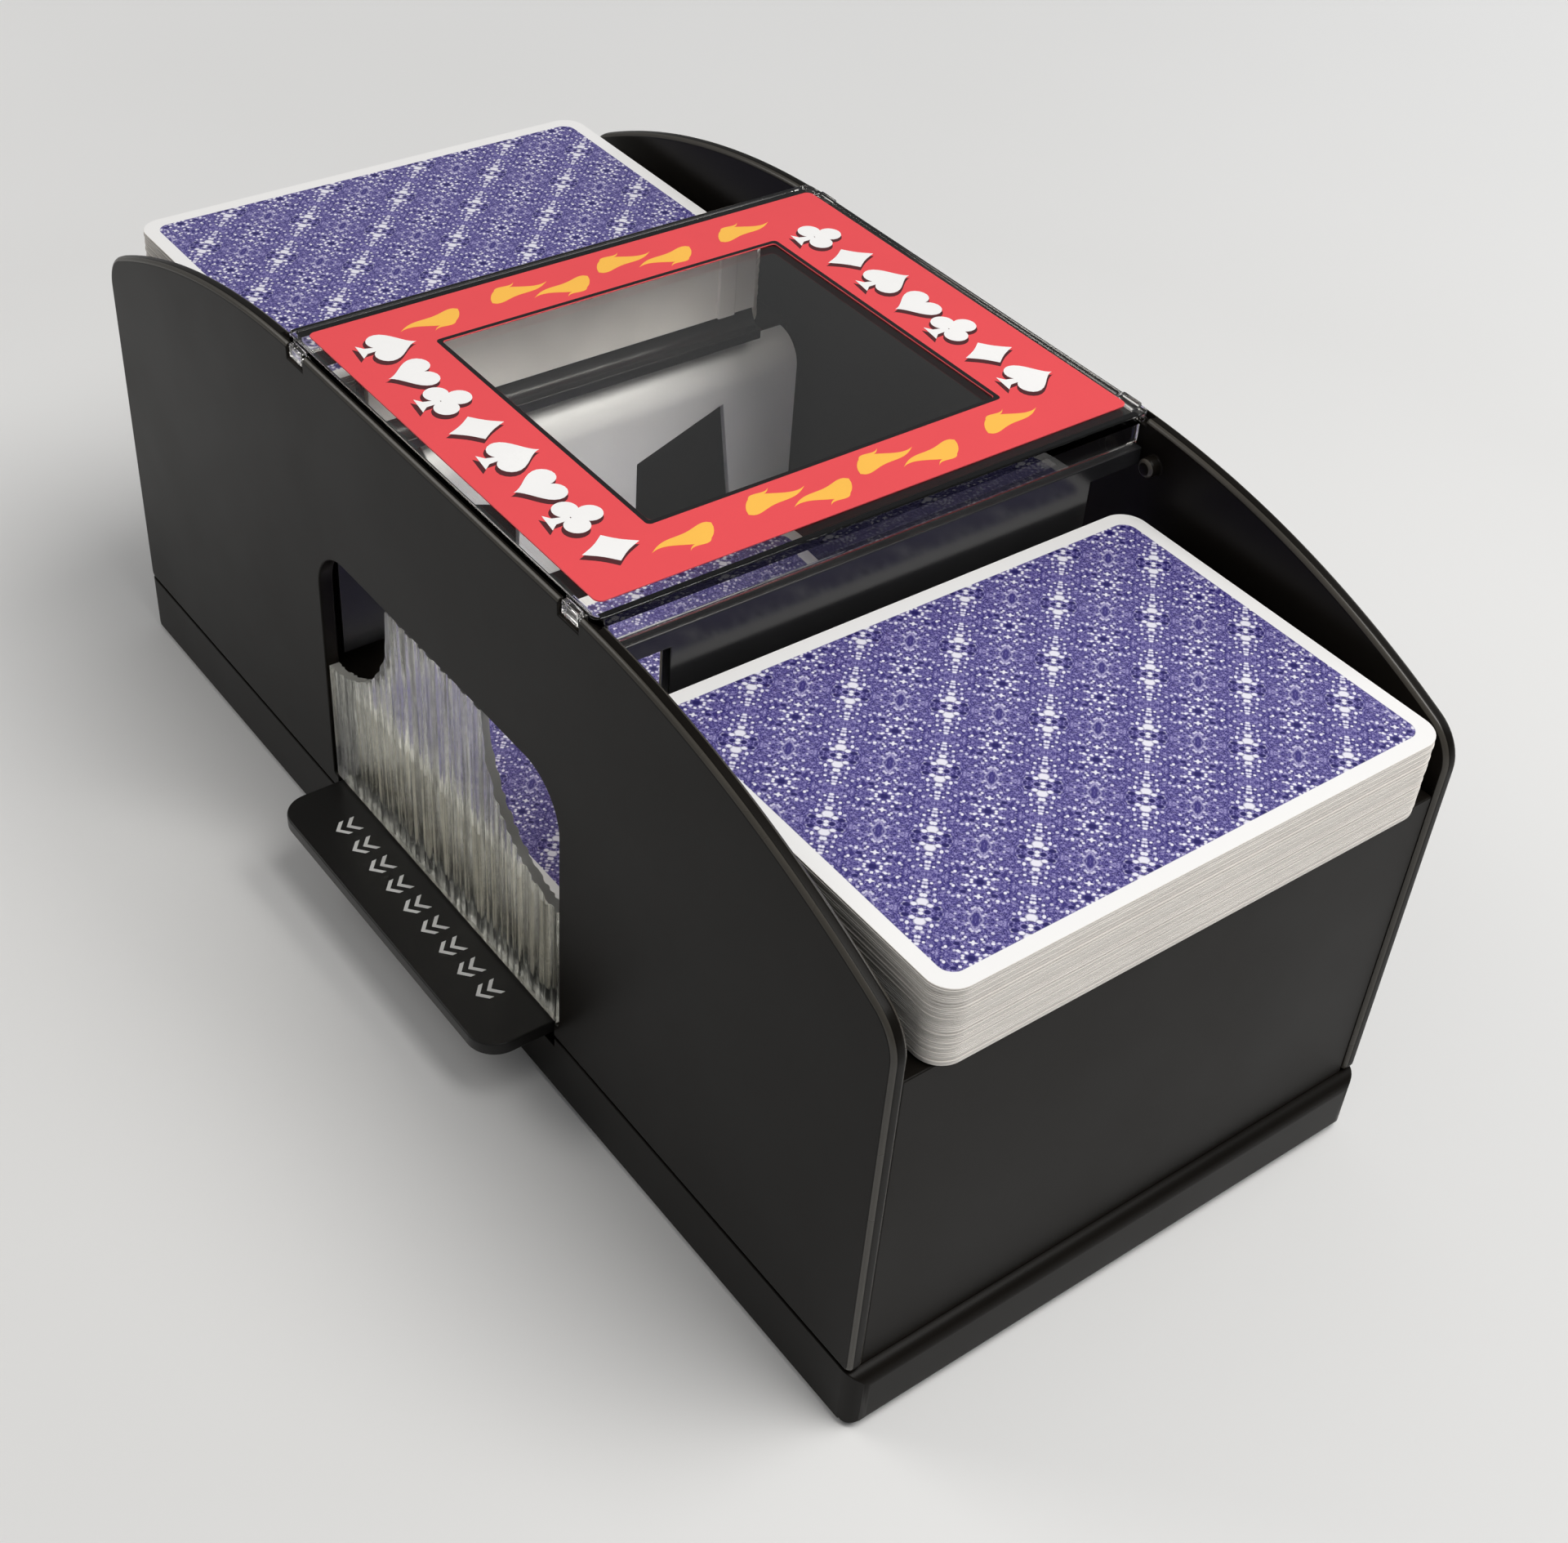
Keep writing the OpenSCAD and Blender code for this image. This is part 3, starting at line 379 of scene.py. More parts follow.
def metal(name, colour, roughness, stretch=(1, 1, 1), size=0.5, depth=0.002, **values):
    s = Surface(name, Metallic=1.0, Roughness=roughness, **values)
    lines = s.noise(size, 3, stretch=stretch, seed=2)
    s.set("Base Color", s.mix(s.spread(s.noise(4, 3), 0.3, 0.7), shade(colour, 0.85), colour))
    s.set("Roughness", s.spread(lines, 0.3, 0.7, roughness - 0.06, roughness + 0.1))
    s.bump(lines, depth)
    return s.material


def rubber(name, colour, roughness=0.7):
    s = Surface(name, Roughness=roughness, Specular_IOR_Level=0.35)
    s.set("Base Color", s.mix(s.spread(s.noise(1.2, 5, rough=0.7), 0.45, 0.7), colour, shade(colour, 1.8)))
    s.bump(s.noise(0.35, 4, seed=4), 0.015)
    return s.material


def clear(name, colour, streaks=0.0):
    """Clear moulding; streaks is the depth of the fine upright lines left by a worn mould. With streaks, the tint also
    gets dark upright lines: painted shade for what the flutes refract.
    """
    s = Surface(name, Base_Color=(*colour, 1), Roughness=0.0, IOR=1.49, Transmission_Weight=1.0)
    if streaks:
        lines = s.noise(0.8, 4, stretch=(1, 1, 0.03), seed=17, rough=0.7)
        # dark lines in the tint: painted shade, not a colour of the plastic
        s.set("Base Color", s.mix(s.spread(lines, 0.52, 0.62), colour, shade(colour, 0.30)))
        s.bump(s.noise(0.9, 4, stretch=(1, 1, 0.035), seed=6, rough=0.75), streaks)
        s.bump(s.noise(2.6, 3, stretch=(1, 1, 0.09), seed=12, rough=0.6), streaks * 1.5)
    s.bump(s.noise(9, 2, seed=1), 0.0012)
    return s.material


# ---- materials ----

HOUSING = plastic("housing_black", (0.0058, 0.0047, 0.0036), 0.34, Specular_IOR_Level=0.09)
# lighter copy of the housing black for rounded edges and rims: painted highlight
HOUSING_PAINTED_HIGHLIGHT = plastic("housing_edge", (0.050, 0.045, 0.037), 0.26, Specular_IOR_Level=0.4)
TRAY = plastic("tray_brown", (0.0075, 0.0062, 0.0050), 0.40, Specular_IOR_Level=0.10)
GATE = plastic("gate_black", (0.0160, 0.0160, 0.0170), 0.20, grain=0.002)
PRESS = plastic("press_black", (0.0085, 0.0080, 0.0075), 0.34, Specular_IOR_Level=0.25)
SWITCH = plastic("switch_black", (0.0120, 0.0120, 0.0125), 0.45)
STOP = plastic("stop_taupe", (0.84, 0.77, 0.67), 0.28, grain=0.003)
# lighter copy of the stop colour for its face toward the chamber: painted highlight
STOP_PAINTED_HIGHLIGHT = plastic("stop_rib_painted_highlight", (0.90, 0.88, 0.83), 0.22, grain=0.003)
# the dark margin next to the front panel is painted shade
CHUTE = grey_with_painted_shade("chute_grey", (0.82, 0.825, 0.83), (0.006, 0.006, 0.006), -28.0)
BUTTON = plastic("button_red", (0.55, 0.03, 0.025), 0.38)
HUB = plastic("hub_white", (0.62, 0.61, 0.57), 0.45)
GEAR = plastic("gear_white", (0.70, 0.69, 0.64), 0.42)
RED_WIRE = plastic("red_insulation", (0.50, 0.02, 0.015), 0.45)
BLACK_WIRE = plastic("black_insulation", (0.012, 0.012, 0.012), 0.45)
FOOT = rubber("foot_rubber", (0.022, 0.022, 0.023), 0.8)
TYRE = rubber("tyre_rubber", (0.035, 0.034, 0.033), 0.72)
STEEL = metal("bright_steel", (0.62, 0.62, 0.63), 0.22, (1, 6, 1))
ZINC = metal("screw_zinc", (0.58, 0.57, 0.54), 0.32)
MOTOR = metal("motor_steel", (0.50, 0.50, 0.51), 0.30, (1, 0.2, 1), depth=0.004)
BRONZE = metal("bush_bronze", (0.50, 0.33, 0.16), 0.36, size=0.3, depth=0.006)
BRASS = metal("pinion_brass", (0.72, 0.54, 0.24), 0.28)
NICKEL = metal("contact_nickel", (0.66, 0.64, 0.58), 0.26)
COVER = clear("cover_clear", (0.96, 0.952, 0.925))
BIN = clear("bin_clear", (0.93, 0.935, 0.85), streaks=0.16)
# lighter, half-clear colour for the bin's top rim: painted highlight
BIN_RIM_HIGHLIGHT = plastic("bin_edge_frosted", (0.42, 0.42, 0.39), 0.30, grain=0.02, Transmission_Weight=0.5, IOR=1.49)


def jacket(name, colour, **values):
    s = Surface(name, Roughness=0.3, **values)
    s.set("Base Color", s.mix(s.spread(s.noise(9, 3), 0.3, 0.7), shade(colour, 0.9), colour))
    s.bump(s.noise(1.5, 3, stretch=(0.2, 1, 1)), 0.006)
    return s.material


COPPER_JACKET = jacket("cell_jacket_copper", (0.62, 0.30, 0.10), Metallic=0.75)
BLACK_JACKET = jacket("cell_jacket_black", (0.02, 0.02, 0.022))


def card_edge():
    """Cut paper edges: warm white, with a faint line for each card."""
    s = Surface("card_edges", Roughness=0.6)
    fine = s.noise(0.30, 3, stretch=(0.06, 0.06, 1.6), seed=3, rough=0.6)
    soft = s.noise(16, 2, seed=6)
    base = s.mix(s.spread(fine, 0.35, 0.65), (0.74, 0.70, 0.655), (0.80, 0.765, 0.72))
    s.set("Base Color", s.mix(s.spread(soft, 0.3, 0.7, 0.04, 0.0), base, (0.0, 0.0, 0.0)))
    s.bump(fine, 0.015)
    return s.material


def card_back(width, length):
    """Printed back: mirrored lace in slanting columns of bright and dark blossoms, inside a white border."""
    s = Surface("card_back", Roughness=0.34, Coat_Weight=0.2, Coat_Roughness=0.16)
    where = s.add("ShaderNodeUVMap", uv_map="card").outputs[0]
    split = s.add("ShaderNodeSeparateXYZ", {0: where})
    u, v = split.outputs[0], split.outputs[1]
    cell = 6.65  # half the distance between two blossoms of a column
    across = s.sum("MULTIPLY", s.sum("ADD", u, v), math.sqrt(0.5))
    along = s.sum("MULTIPLY", s.sum("SUBTRACT", u, v), math.sqrt(0.5))
    mu, mv = s.sum("PINGPONG", across, cell), s.sum("PINGPONG", along, cell)
    tile = s.add("ShaderNodeCombineXYZ", {0: mu, 1: mv, 2: 3.1}).outputs[0]

    def spot(cu, cv, ru, rv):
        """1 inside an ellipse of the tile, 0 outside."""
        soft = 0.22
        d = s.add("ShaderNodeVectorMath", {0: tile, 1: (cu, cv, 3.1)}, operation="SUBTRACT").outputs[0]
        d = s.add("ShaderNodeVectorMath", {0: d, 1: (1 / ru, 1 / rv, 0)}, operation="MULTIPLY").outputs[0]
        far = s.add("ShaderNodeVectorMath", {0: d}, operation="LENGTH").outputs["Value"]
        return s.spread(far, 1 - soft, 1 + soft, 1.0, 0.0)

    def spots(*shapes):
        return [spot(*shape) for shape in shapes]

    def spots_from_centre(*shapes):
        """Spots measured from the middle between four blossoms."""
        return [spot(cell - a, cell - b, ru, rv) for a, b, ru, rv in shapes]

    def most(shapes):
        out = shapes[0]
        for shape in shapes[1:]:
            out = s.sum("MAXIMUM", out, shape)
        return out

    blossom = spots(
        (0.12, 1.75, 0.62, 0.6), (0.2, 2.9, 0.3, 0.34), (1.0, 1.2, 0.42, 0.3), (1.5, 2.2, 0.24, 0.34),
        (0, 0.3, 0.34, 0.3),
    )
    beads = spots((0.2, 4.4, 0.22, 0.26), (0, 5.6, 0.34, 0.22), (0.8, 5.2, 0.2, 0.2), (1.3, 4.2, 0.22, 0.2))
    dark_ring = spots_from_centre(
        (0, 1.1, 0.22, 0.22), (0.7, 0.8, 0.22, 0.22), (1.05, 0.2, 0.22, 0.22), (1.7, 0.9, 0.22, 0.22),
        (1.2, 1.7, 0.22, 0.22),
    )
    crosses = spots_from_centre(
        (0, 2.6, 0.2, 0.45), (0.1, 2.6, 0.5, 0.15), (1.0, 3.4, 0.2, 0.2), (2.4, 2.9, 0.26, 0.2), (3.2, 1.3, 0.2, 0.26)
    )
    holes = spots((0.8, 0.1, 0.36, 0.3), (cell, cell, 0.6, 0.5), (1.9, 0.9, 0.5, 0.35), (0, 1.1, 0.3, 0.14))
    holes += spots_from_centre((1.9, 2.1, 0.4, 0.3))
    swirl = spot(2.7, 5.1, 1.4, 1.1)
    gem = s.add("ShaderNodeVectorMath", {0: tile, 1: (cell, 0, 3.1)}, operation="SUBTRACT").outputs[0]
    gem = s.add("ShaderNodeVectorMath", {0: gem, 1: (0.9, 0.42, 0)}, operation="MULTIPLY").outputs[0]
    gem = s.add("ShaderNodeVectorMath", {0: gem}, operation="ABSOLUTE").outputs[0]
    gem = s.add("ShaderNodeSeparateXYZ", {0: gem})
    gem = s.sum("ADD", gem.outputs[0], gem.outputs[1])  # 1 on the outline of a diamond
    lace = s.noise(0.62, 4, where=tile, seed=4, rough=0.75)
    fine = s.noise(0.27, 3, where=tile, seed=11, rough=0.8)
    dots = s.add("ShaderNodeTexVoronoi", {"Vector": tile, "Scale": 1.05, "Randomness": 0.9}).outputs["Distance"]
    small = s.add("ShaderNodeTexVoronoi", {"Vector": tile, "Scale": 2.1, "Randomness": 1.0}).outputs["Distance"]
    arcs = s.sum("ABSOLUTE", s.sum("SINE", s.sum("MULTIPLY", s.noise(3.0, 1, where=tile, seed=7), 42.0)))
    arcs = s.spread(arcs, 0.06, 0.34, 1.0, 0.0)
    deep, blue, violet = (0.014, 0.009, 0.110), (0.042, 0.030, 0.210), (0.160, 0.135, 0.400)
    pale, white = (0.46, 0.43, 0.67), (0.86, 0.85, 0.93)
    colour = s.mix(s.spread(lace, 0.40, 0.56), deep, blue)
    colour = s.mix(s.sum("MULTIPLY", s.spread(fine, 0.50, 0.58), 0.85), colour, violet)
    colour = s.mix(s.sum("MULTIPLY", arcs, 0.7), colour, (0.26, 0.23, 0.50))
    colour = s.mix(s.sum("MULTIPLY", s.spread(lace, 0.55, 0.60), 0.85), colour, (0.34, 0.31, 0.57))
    colour = s.mix(s.sum("MULTIPLY", s.spread(fine, 0.59, 0.66), 0.7), colour, pale)
    colour = s.mix(s.sum("MULTIPLY", swirl, 0.6), colour, s.mix(arcs, (0.030, 0.020, 0.175), violet))
    outline = s.spread(s.sum("ABSOLUTE", s.sum("SUBTRACT", gem, 0.85)), 0.05, 0.18, 1.0, 0.0)
    colour = s.mix(s.spread(gem, 1.0, 1.2, 0.6, 0.0), colour, s.mix(outline, (0.035, 0.025, 0.190), pale))
    colour = s.mix(s.spread(small, 0.14, 0.28, 0.55, 0.0), colour, pale)
    colour = s.mix(s.spread(dots, 0.20, 0.30, 0.9, 0.0), colour, (0.66, 0.64, 0.80))
    colour = s.mix(most(holes), colour, deep)
    colour = s.mix(s.sum("MULTIPLY", most(blossom + beads + dark_ring + crosses), 0.95), colour, white)
    # white border with round corners
    border, corner = 2.6, 2.2
    qu = s.sum("MAXIMUM", s.sum("SUBTRACT", s.sum("ABSOLUTE", u), width / 2 - border - corner), 0.0)
    qv = s.sum("MAXIMUM", s.sum("SUBTRACT", s.sum("ABSOLUTE", v), length / 2 - border - corner), 0.0)
    far = s.sum("SQRT", s.sum("MULTIPLY_ADD", qu, qu, s.sum("MULTIPLY", qv, qv)))
    s.set("Base Color", s.mix(s.spread(far, corner - 0.06, corner + 0.06), colour, (0.90, 0.895, 0.89)))
    s.set("Roughness", s.spread(s.noise(12, 4), 0.3, 0.7, 0.28, 0.42))
    s.bump(s.noise(0.4, 2), 0.003)
    return s.material


def printed(name, colour, gloss=0.42):
    """Printed film, with the print a little uneven."""
    s = Surface(name, Roughness=gloss, Specular_IOR_Level=0.25)
    base = s.mix(s.spread(s.noise(14, 4, seed=7), 0.3, 0.7), shade(colour, 0.95), colour)
    s.set("Base Color", s.mix(s.spread(s.noise(0.3, 2, seed=2), 0.4, 0.7), base, shade(colour, 0.97)))
    s.set("Roughness", s.spread(s.noise(9, 4), 0.3, 0.7, gloss - 0.05, gloss + 0.06))
    s.bump(s.noise(7, 2), 0.006)
    return s.material


CORAL = printed("insert_coral", (0.82, 0.082, 0.094))
CORAL_DARK = printed("insert_shadow", (0.085, 0.020, 0.024))
WHITE_INK = printed("insert_white", (0.92, 0.915, 0.91))
YELLOW_INK = printed("insert_yellow", (0.98, 0.53, 0.085))
BLACK_INK = printed("insert_black", (0.014, 0.012, 0.013))
BAR_INK = printed("bar_marks", (0.74, 0.74, 0.73), 0.4)

# ---- side panels ----

panel_lo, panel_hi = box_of("front_side_panel")
half_l, top_z, low_z = panel_hi.x, panel_hi.z, panel_lo.z
outer_y, panel_t = -panel_lo.y, 2.5
inner_y = outer_y - panel_t
SCREW_X, SCREW_ZS = 96, (28, 60)  # screws that hold the side panels
LUG_X, PEG_X, PEG_Z = 37.5, 46, 90  # the cover's lugs, and the studs below its ends
PAN_WIDTH, WINDOW_LOW = 34, 15.4


def dome_outline():
    """A side panel's outline: flat top, long falling arcs, tight end corners, square foot."""
    flat, big, small = 36.0, 155.0, 8.0
    end_x = half_l - small
    end_z = top_z - big + math.sqrt((big - small) ** 2 - (end_x - flat) ** 2)
    tangent = math.atan2(end_z - top_z + big, end_x - flat)
    right = [Vector((end_x + small * math.cos(t), end_z + small * math.sin(t))) for t in np.linspace(0, tangent, 12)]
    right += [
        Vector((flat + big * math.cos(t), top_z - big + big * math.sin(t)))
        for t in np.linspace(tangent, math.pi / 2, 30)[1:]
    ]
    left = [Vector((-p.x, p.y)) for p in reversed(right)]
    foot = rounded([(half_l, 40, 0), (-half_l, 40, 0), (-half_l, low_z, 1.4), (half_l, low_z, 1.4)])[2:]
    return right + left + foot


def window_outline():
    """The bin's window, open below so that the press bar's tab fits through."""
    n, low, w, h, r = PAN_WIDTH, WINDOW_LOW, 35.4, 63.6, 9.0
    return rounded([
        (-n, 5, 0), (n, 5, 0), (n, low, 0.5), (w, low, 0.5), (w, h, r), (-w, h, r), (-w, low, 0.5), (-n, low, 0.5),
    ], 5)


def side_panel(front):
    """Panel with its screw bosses and studs inside, the cover's ledge and notches, and the front one's window."""
    side = -1 if front else 1

    def across(a, b):
        return sorted((side * a, side * b))

    def upright(half, x, ys, low):
        return block((x - half, ys[0], low), (x + half, ys[1], 98))

    obj = loose(prism(dome_outline(), "xz", *across(outer_y, inner_y), rim=0.9, steps=5))
    boss = [(0, 0), (0, 3), (4.9, 3), (4.9, 1.3), (0.5, 1.3), (0.5, 0)]
    stud = [(0, 0), (0, 1.6), (2.1, 1.6), (2.6, 1.1), (2.6, 0)]
    face_y = side * (inner_y + 0.4)
    adds = []
    for sx in (-1, 1):
        for z in SCREW_ZS:
            adds.append(turned(boss, (sx * SCREW_X, face_y, z), (0, -side, 0), 40))
        adds.append(turned(stud, (sx * PEG_X, face_y, PEG_Z), (0, -side, 0), 32))
    combine(obj, "UNION", *adds)
    cuts = [upright(42.8, 0, across(outer_y - 1, inner_y - 1), 95.2)]
    cuts += [upright(2.4, sx * LUG_X, across(outer_y + 1, inner_y - 1), 94.0) for sx in (-1, 1)]
    if front:
        cuts.append(prism(window_outline(), "xz", -outer_y - 1, -inner_y + 1))
    combine(obj, "DIFFERENCE", *cuts)
    # the rounded rim takes the lighter housing colour: painted highlight along it
    for face in obj.data.polygons:  # the rounded rim
        face.material_index = int(0.2 < abs(face.normal.y) < 0.93)
    name = "front_side_panel" if front else "rear_side_panel"
    return piece(name + "_shell", obj, "housing", "housing_black", [HOUSING, HOUSING_PAINTED_HIGHLIGHT], [name], bevel=0.3)


side_panel(True)
side_panel(False)

# ---- cards ----


def cards(name, node, body, seed):
    """A squared-up pack of single cards; only the top one's back shows."""
    lo, hi = box_of(node)
    width, length, height = hi - lo
    count = round(height / 0.3)
    pitch = height / count
    rng = random.Random(seed)
    middle = (lo + hi) / 2
    parts = bmesh.new()
    slack, corner = 0.10, 4  # slack lets the cards lie a little uneven within the pack
    x, y = width / 2 - slack, length / 2 - slack
    outline = rounded([(-x, -y, corner), (x, -y, corner), (x, y, corner), (-x, y, corner)], 9)
    uv = parts.loops.layers.uv.new("card")
    for k in range(count):
        top = k == count - 1
        dx, dy = (0, 0) if top else (rng.uniform(-1, 1) * slack * 0.8, rng.uniform(-1, 1) * slack * 0.8)
        z = lo.z + k * pitch
        card = prism(outline, "xy", z, z + pitch * 0.94, rim=0.05, steps=1)
        shift = Vector((middle.x + dx, middle.y + dy, 0))
        made = {}
        for face in card.faces:
            corners = []
            for v in face.verts:
                if v not in made:
                    made[v] = parts.verts.new(v.co + shift)
                corners.append(made[v])
            new = parts.faces.new(corners)
            is_back = top and face.normal.z > 0.9
            new.material_index = 1 if is_back else 0
            for loop, v in zip(new.loops, face.verts):
                loop[uv].uv = (v.co.x, v.co.y)
        card.free()
    return piece(name, parts, body, "card_paper", [CARD_EDGE, CARD_BACK], [node], smooth=60)


deck_lo, deck_hi = box_of("right_deck")
CARD_EDGE = card_edge()
CARD_BACK = card_back(deck_hi.x - deck_lo.x, deck_hi.y - deck_lo.y)
cards("right_cards_pack", "right_deck", "right_cards", 3)
cards("left_cards_pack", "left_deck", "left_cards", 5)
cards("shuffled_cards_pack", "shuffled_cards", "shuffled_deck", 8)

# ---- base, trays, gates, chutes, shelf ----



def shell(name, node, body, slot, material, bevel, **options):
    """A piece with its CAD node's own shape."""
    return piece(name, cad_mesh(node), body, slot, material, [node], bevel=bevel, **options)


shell("base_pan_shell", "base_pan", "housing", "housing_black", HOUSING, 0.16, edge=HOUSING_PAINTED_HIGHLIGHT)
for side in ("right", "left"):
    tray, gate = f"{side}_card_tray", f"{side}_gate"
    shell(tray + "_shell", tray, "housing", "tray_brown", TRAY, 0.25, edge=HOUSING_PAINTED_HIGHLIGHT)
    shell(gate + "_blade", gate, "housing", "gate_black", GATE, 0.25, edge=HOUSING_PAINTED_HIGHLIGHT)
    stop = cad_mesh(f"{side}_card_stop")
    innermost = min(abs(c.x) for c in box_of(f"{side}_card_stop"))
    for face in stop.faces:
        # faces toward the chamber get the lighter colour: painted highlight
        face.material_index = int(abs(face.calc_center_median().x) < innermost + 0.6)
    piece(f"{side}_card_stop_pad", stop, "housing", "stop_taupe", [STOP, STOP_PAINTED_HIGHLIGHT], [f"{side}_card_stop"], bevel=0.2)
    shell(f"{side}_feed_chute_sheet", f"{side}_feed_chute", "housing", "chute_grey", CHUTE, 0.15)
shell("bin_shelf_plate", "bin_shelf", "housing", "housing_black", HOUSING, 0.25, edge=HOUSING_PAINTED_HIGHLIGHT)
door = "battery_door"
shell("battery_door_panel", door, door, "housing_black", HOUSING, 0.08, segments=2, edge=HOUSING_PAINTED_HIGHLIGHT)

# ---- cover and its printed insert ----

cover = shell("top_cover_moulding", "top_cover", "cover", "cover_clear", COVER, 0.3)
cover.visible_shadow = False

ins_lo, ins_hi = box_of("cover_insert")
ins_x, ins_y = ins_hi.x, ins_hi.y
win_x, win_y = 27.5, 31.0
ins_z, film_z = ins_lo.z + 0.02, ins_hi.z - 0.06


def flat_rect(x, y, r):
    return rounded([(-x, -y, r), (x, -y, r), (x, y, r), (-x, y, r)])


sheet = loose(prism(flat_rect(ins_x, ins_y, 1.2), "xy", ins_z, film_z))
combine(sheet, "DIFFERENCE", prism(flat_rect(win_x, win_y, 0.6), "xy", ins_z - 1, film_z + 1))
piece("cover_insert_film", sheet, "cover", "insert_print", CORAL, ["cover_insert"], bevel=0.04, segments=1)

window_line = loose(prism(flat_rect(win_x + 0.8, win_y + 0.8, 0.8), "xy", film_z - 0.02, film_z + 0.012))
combine(window_line, "DIFFERENCE", prism(flat_rect(win_x + 0.05, win_y + 0.05, 0.6), "xy", ins_z - 1, film_z + 1))
piece("cover_insert_window_line", window_line, "cover", "insert_print", BLACK_INK)


def heart():
    pts = []
    for k in range(40):
        t = 2 * math.pi * k / 40
        y = 13 * math.cos(t) - 5 * math.cos(2 * t) - 2 * math.cos(3 * t) - math.cos(4 * t)
        pts.append(Vector((16 * math.sin(t) ** 3, y)) / 34)
    return [pts]


def stem():
    half = [(0.22, -0.5), (0.09, -0.38), (0.045, -0.1)]
    return [Vector((-0.22, -0.5)), *(Vector(p) for p in half), *(Vector((-x, y)) for x, y in reversed(half[1:]))]


def spade():
    return [[Vector((p.x, -p.y + 0.06)) for p in heart()[0]], stem()]


def club():
    discs = []
    for cx, cy in ((0, 0.25), (-0.24, -0.08), (0.24, -0.08), (0, 0.04)):
        r = 0.12 if (cx, cy) == (0, 0.04) else 0.225
        turns = [2 * math.pi * k / 28 for k in range(28)]
        discs.append([Vector((cx + r * math.cos(t), cy + r * math.sin(t))) for t in turns])
    return [*discs, stem()]


def diamond():
    pts = []
    for a, b in (((0.38, 0), (0, 0.5)), ((0, 0.5), (-0.38, 0)), ((-0.38, 0), (0, -0.5)), ((0, -0.5), (0.38, 0))):
        a, b = Vector(a), Vector(b)
        for k in range(6):
            p = a.lerp(b, k / 6)
            pts.append(p * (1 - 0.10 * math.sin(math.pi * k / 6)))
    return [pts]


def leaf(length, width, bend):
    """A swoosh along +X: an S-shaped blade, widest near its start, with a fine tail."""
    left, right = [], []
    for k in range(25):
        t = k / 24
        x = (t - 0.5) * length
        y = bend * math.sin(2 * math.pi * t - 0.5)
        w = width * math.sin(math.pi * t ** 0.55) ** 1.3 / 2
        left.append(Vector((x, y + w)))
        right.append(Vector((x, y - w)))
    return [left[:-1] + right[::-1][:-1]]


def decal(shapes, place, z0, z1):
    """Thin solids for flat shapes; overlapping ones lie a hair above each other."""
    parts = []
    for n, shape in enumerate(shapes):
        pts = [place @ Vector((p.x, p.y, 0)) for p in shape]
        lift = 0.002 * (n % 5)
        parts.append(prism([(p.x, p.y) for p in pts], "xy", z0, z1 - 0.012 + lift))
    return parts


PIP_PITCH, PIP_SIZE = 8.6, 8.4
pips = [spade(), heart(), club(), diamond()]
sunk = film_z - 0.02  # prints start just inside the film
white, dark = [], []
for y, count, first in ((-39.0, 8, 0), (38.8, 7, 2)):
    for k in range(count):
        x = (k - (count - 1) / 2) * PIP_PITCH
        shape = pips[(k + first) % 4]
        place = Matrix.Translation((x, y, 0)) @ Matrix.Rotation(math.radians(-8), 4, "Z") @ Matrix.Scale(PIP_SIZE, 4)
        behind = Matrix.Translation((0.7, -0.65, 0)) @ place @ Matrix.Scale(1.05, 4)
        white += decal(shape, place, sunk, film_z + 0.042)
        dark += decal(shape, behind, sunk, film_z + 0.024)
piece("cover_insert_pips", merged(*white), "cover", "insert_print", WHITE_INK)
piece("cover_insert_pip_shadows", merged(*dark), "cover", "insert_print", CORAL_DARK)

leaves = []
for sx in (-1, 1):
    x = sx * (win_x + ins_x) / 2
    for y, pair in ((-29.5, 0), (-10.0, 1), (9.5, 1), (29.0, 0)):
        for way in (-1, 1) if pair else (-1 if y > 0 else 1,):
            move = Vector((x + 1.25 * way * pair, y + 3.3 * way * pair, 0))
            place = Matrix.Translation(move) @ Matrix.Rotation(math.radians(-90 * way + 9), 4, "Z")
            beside = place @ Matrix.Translation((-1.2, 2.1, 0)) @ Matrix.Rotation(0.3, 4, "Z")
            leaves += decal(leaf(11.0, 3.4, 0.75), place, sunk, film_z + 0.036)
            leaves += decal(leaf(5.0, 1.1, 0.4), beside, sunk, film_z + 0.034)
piece("cover_insert_leaves", merged(*leaves), "cover", "insert_print", YELLOW_INK)

# ---- clear bin ----


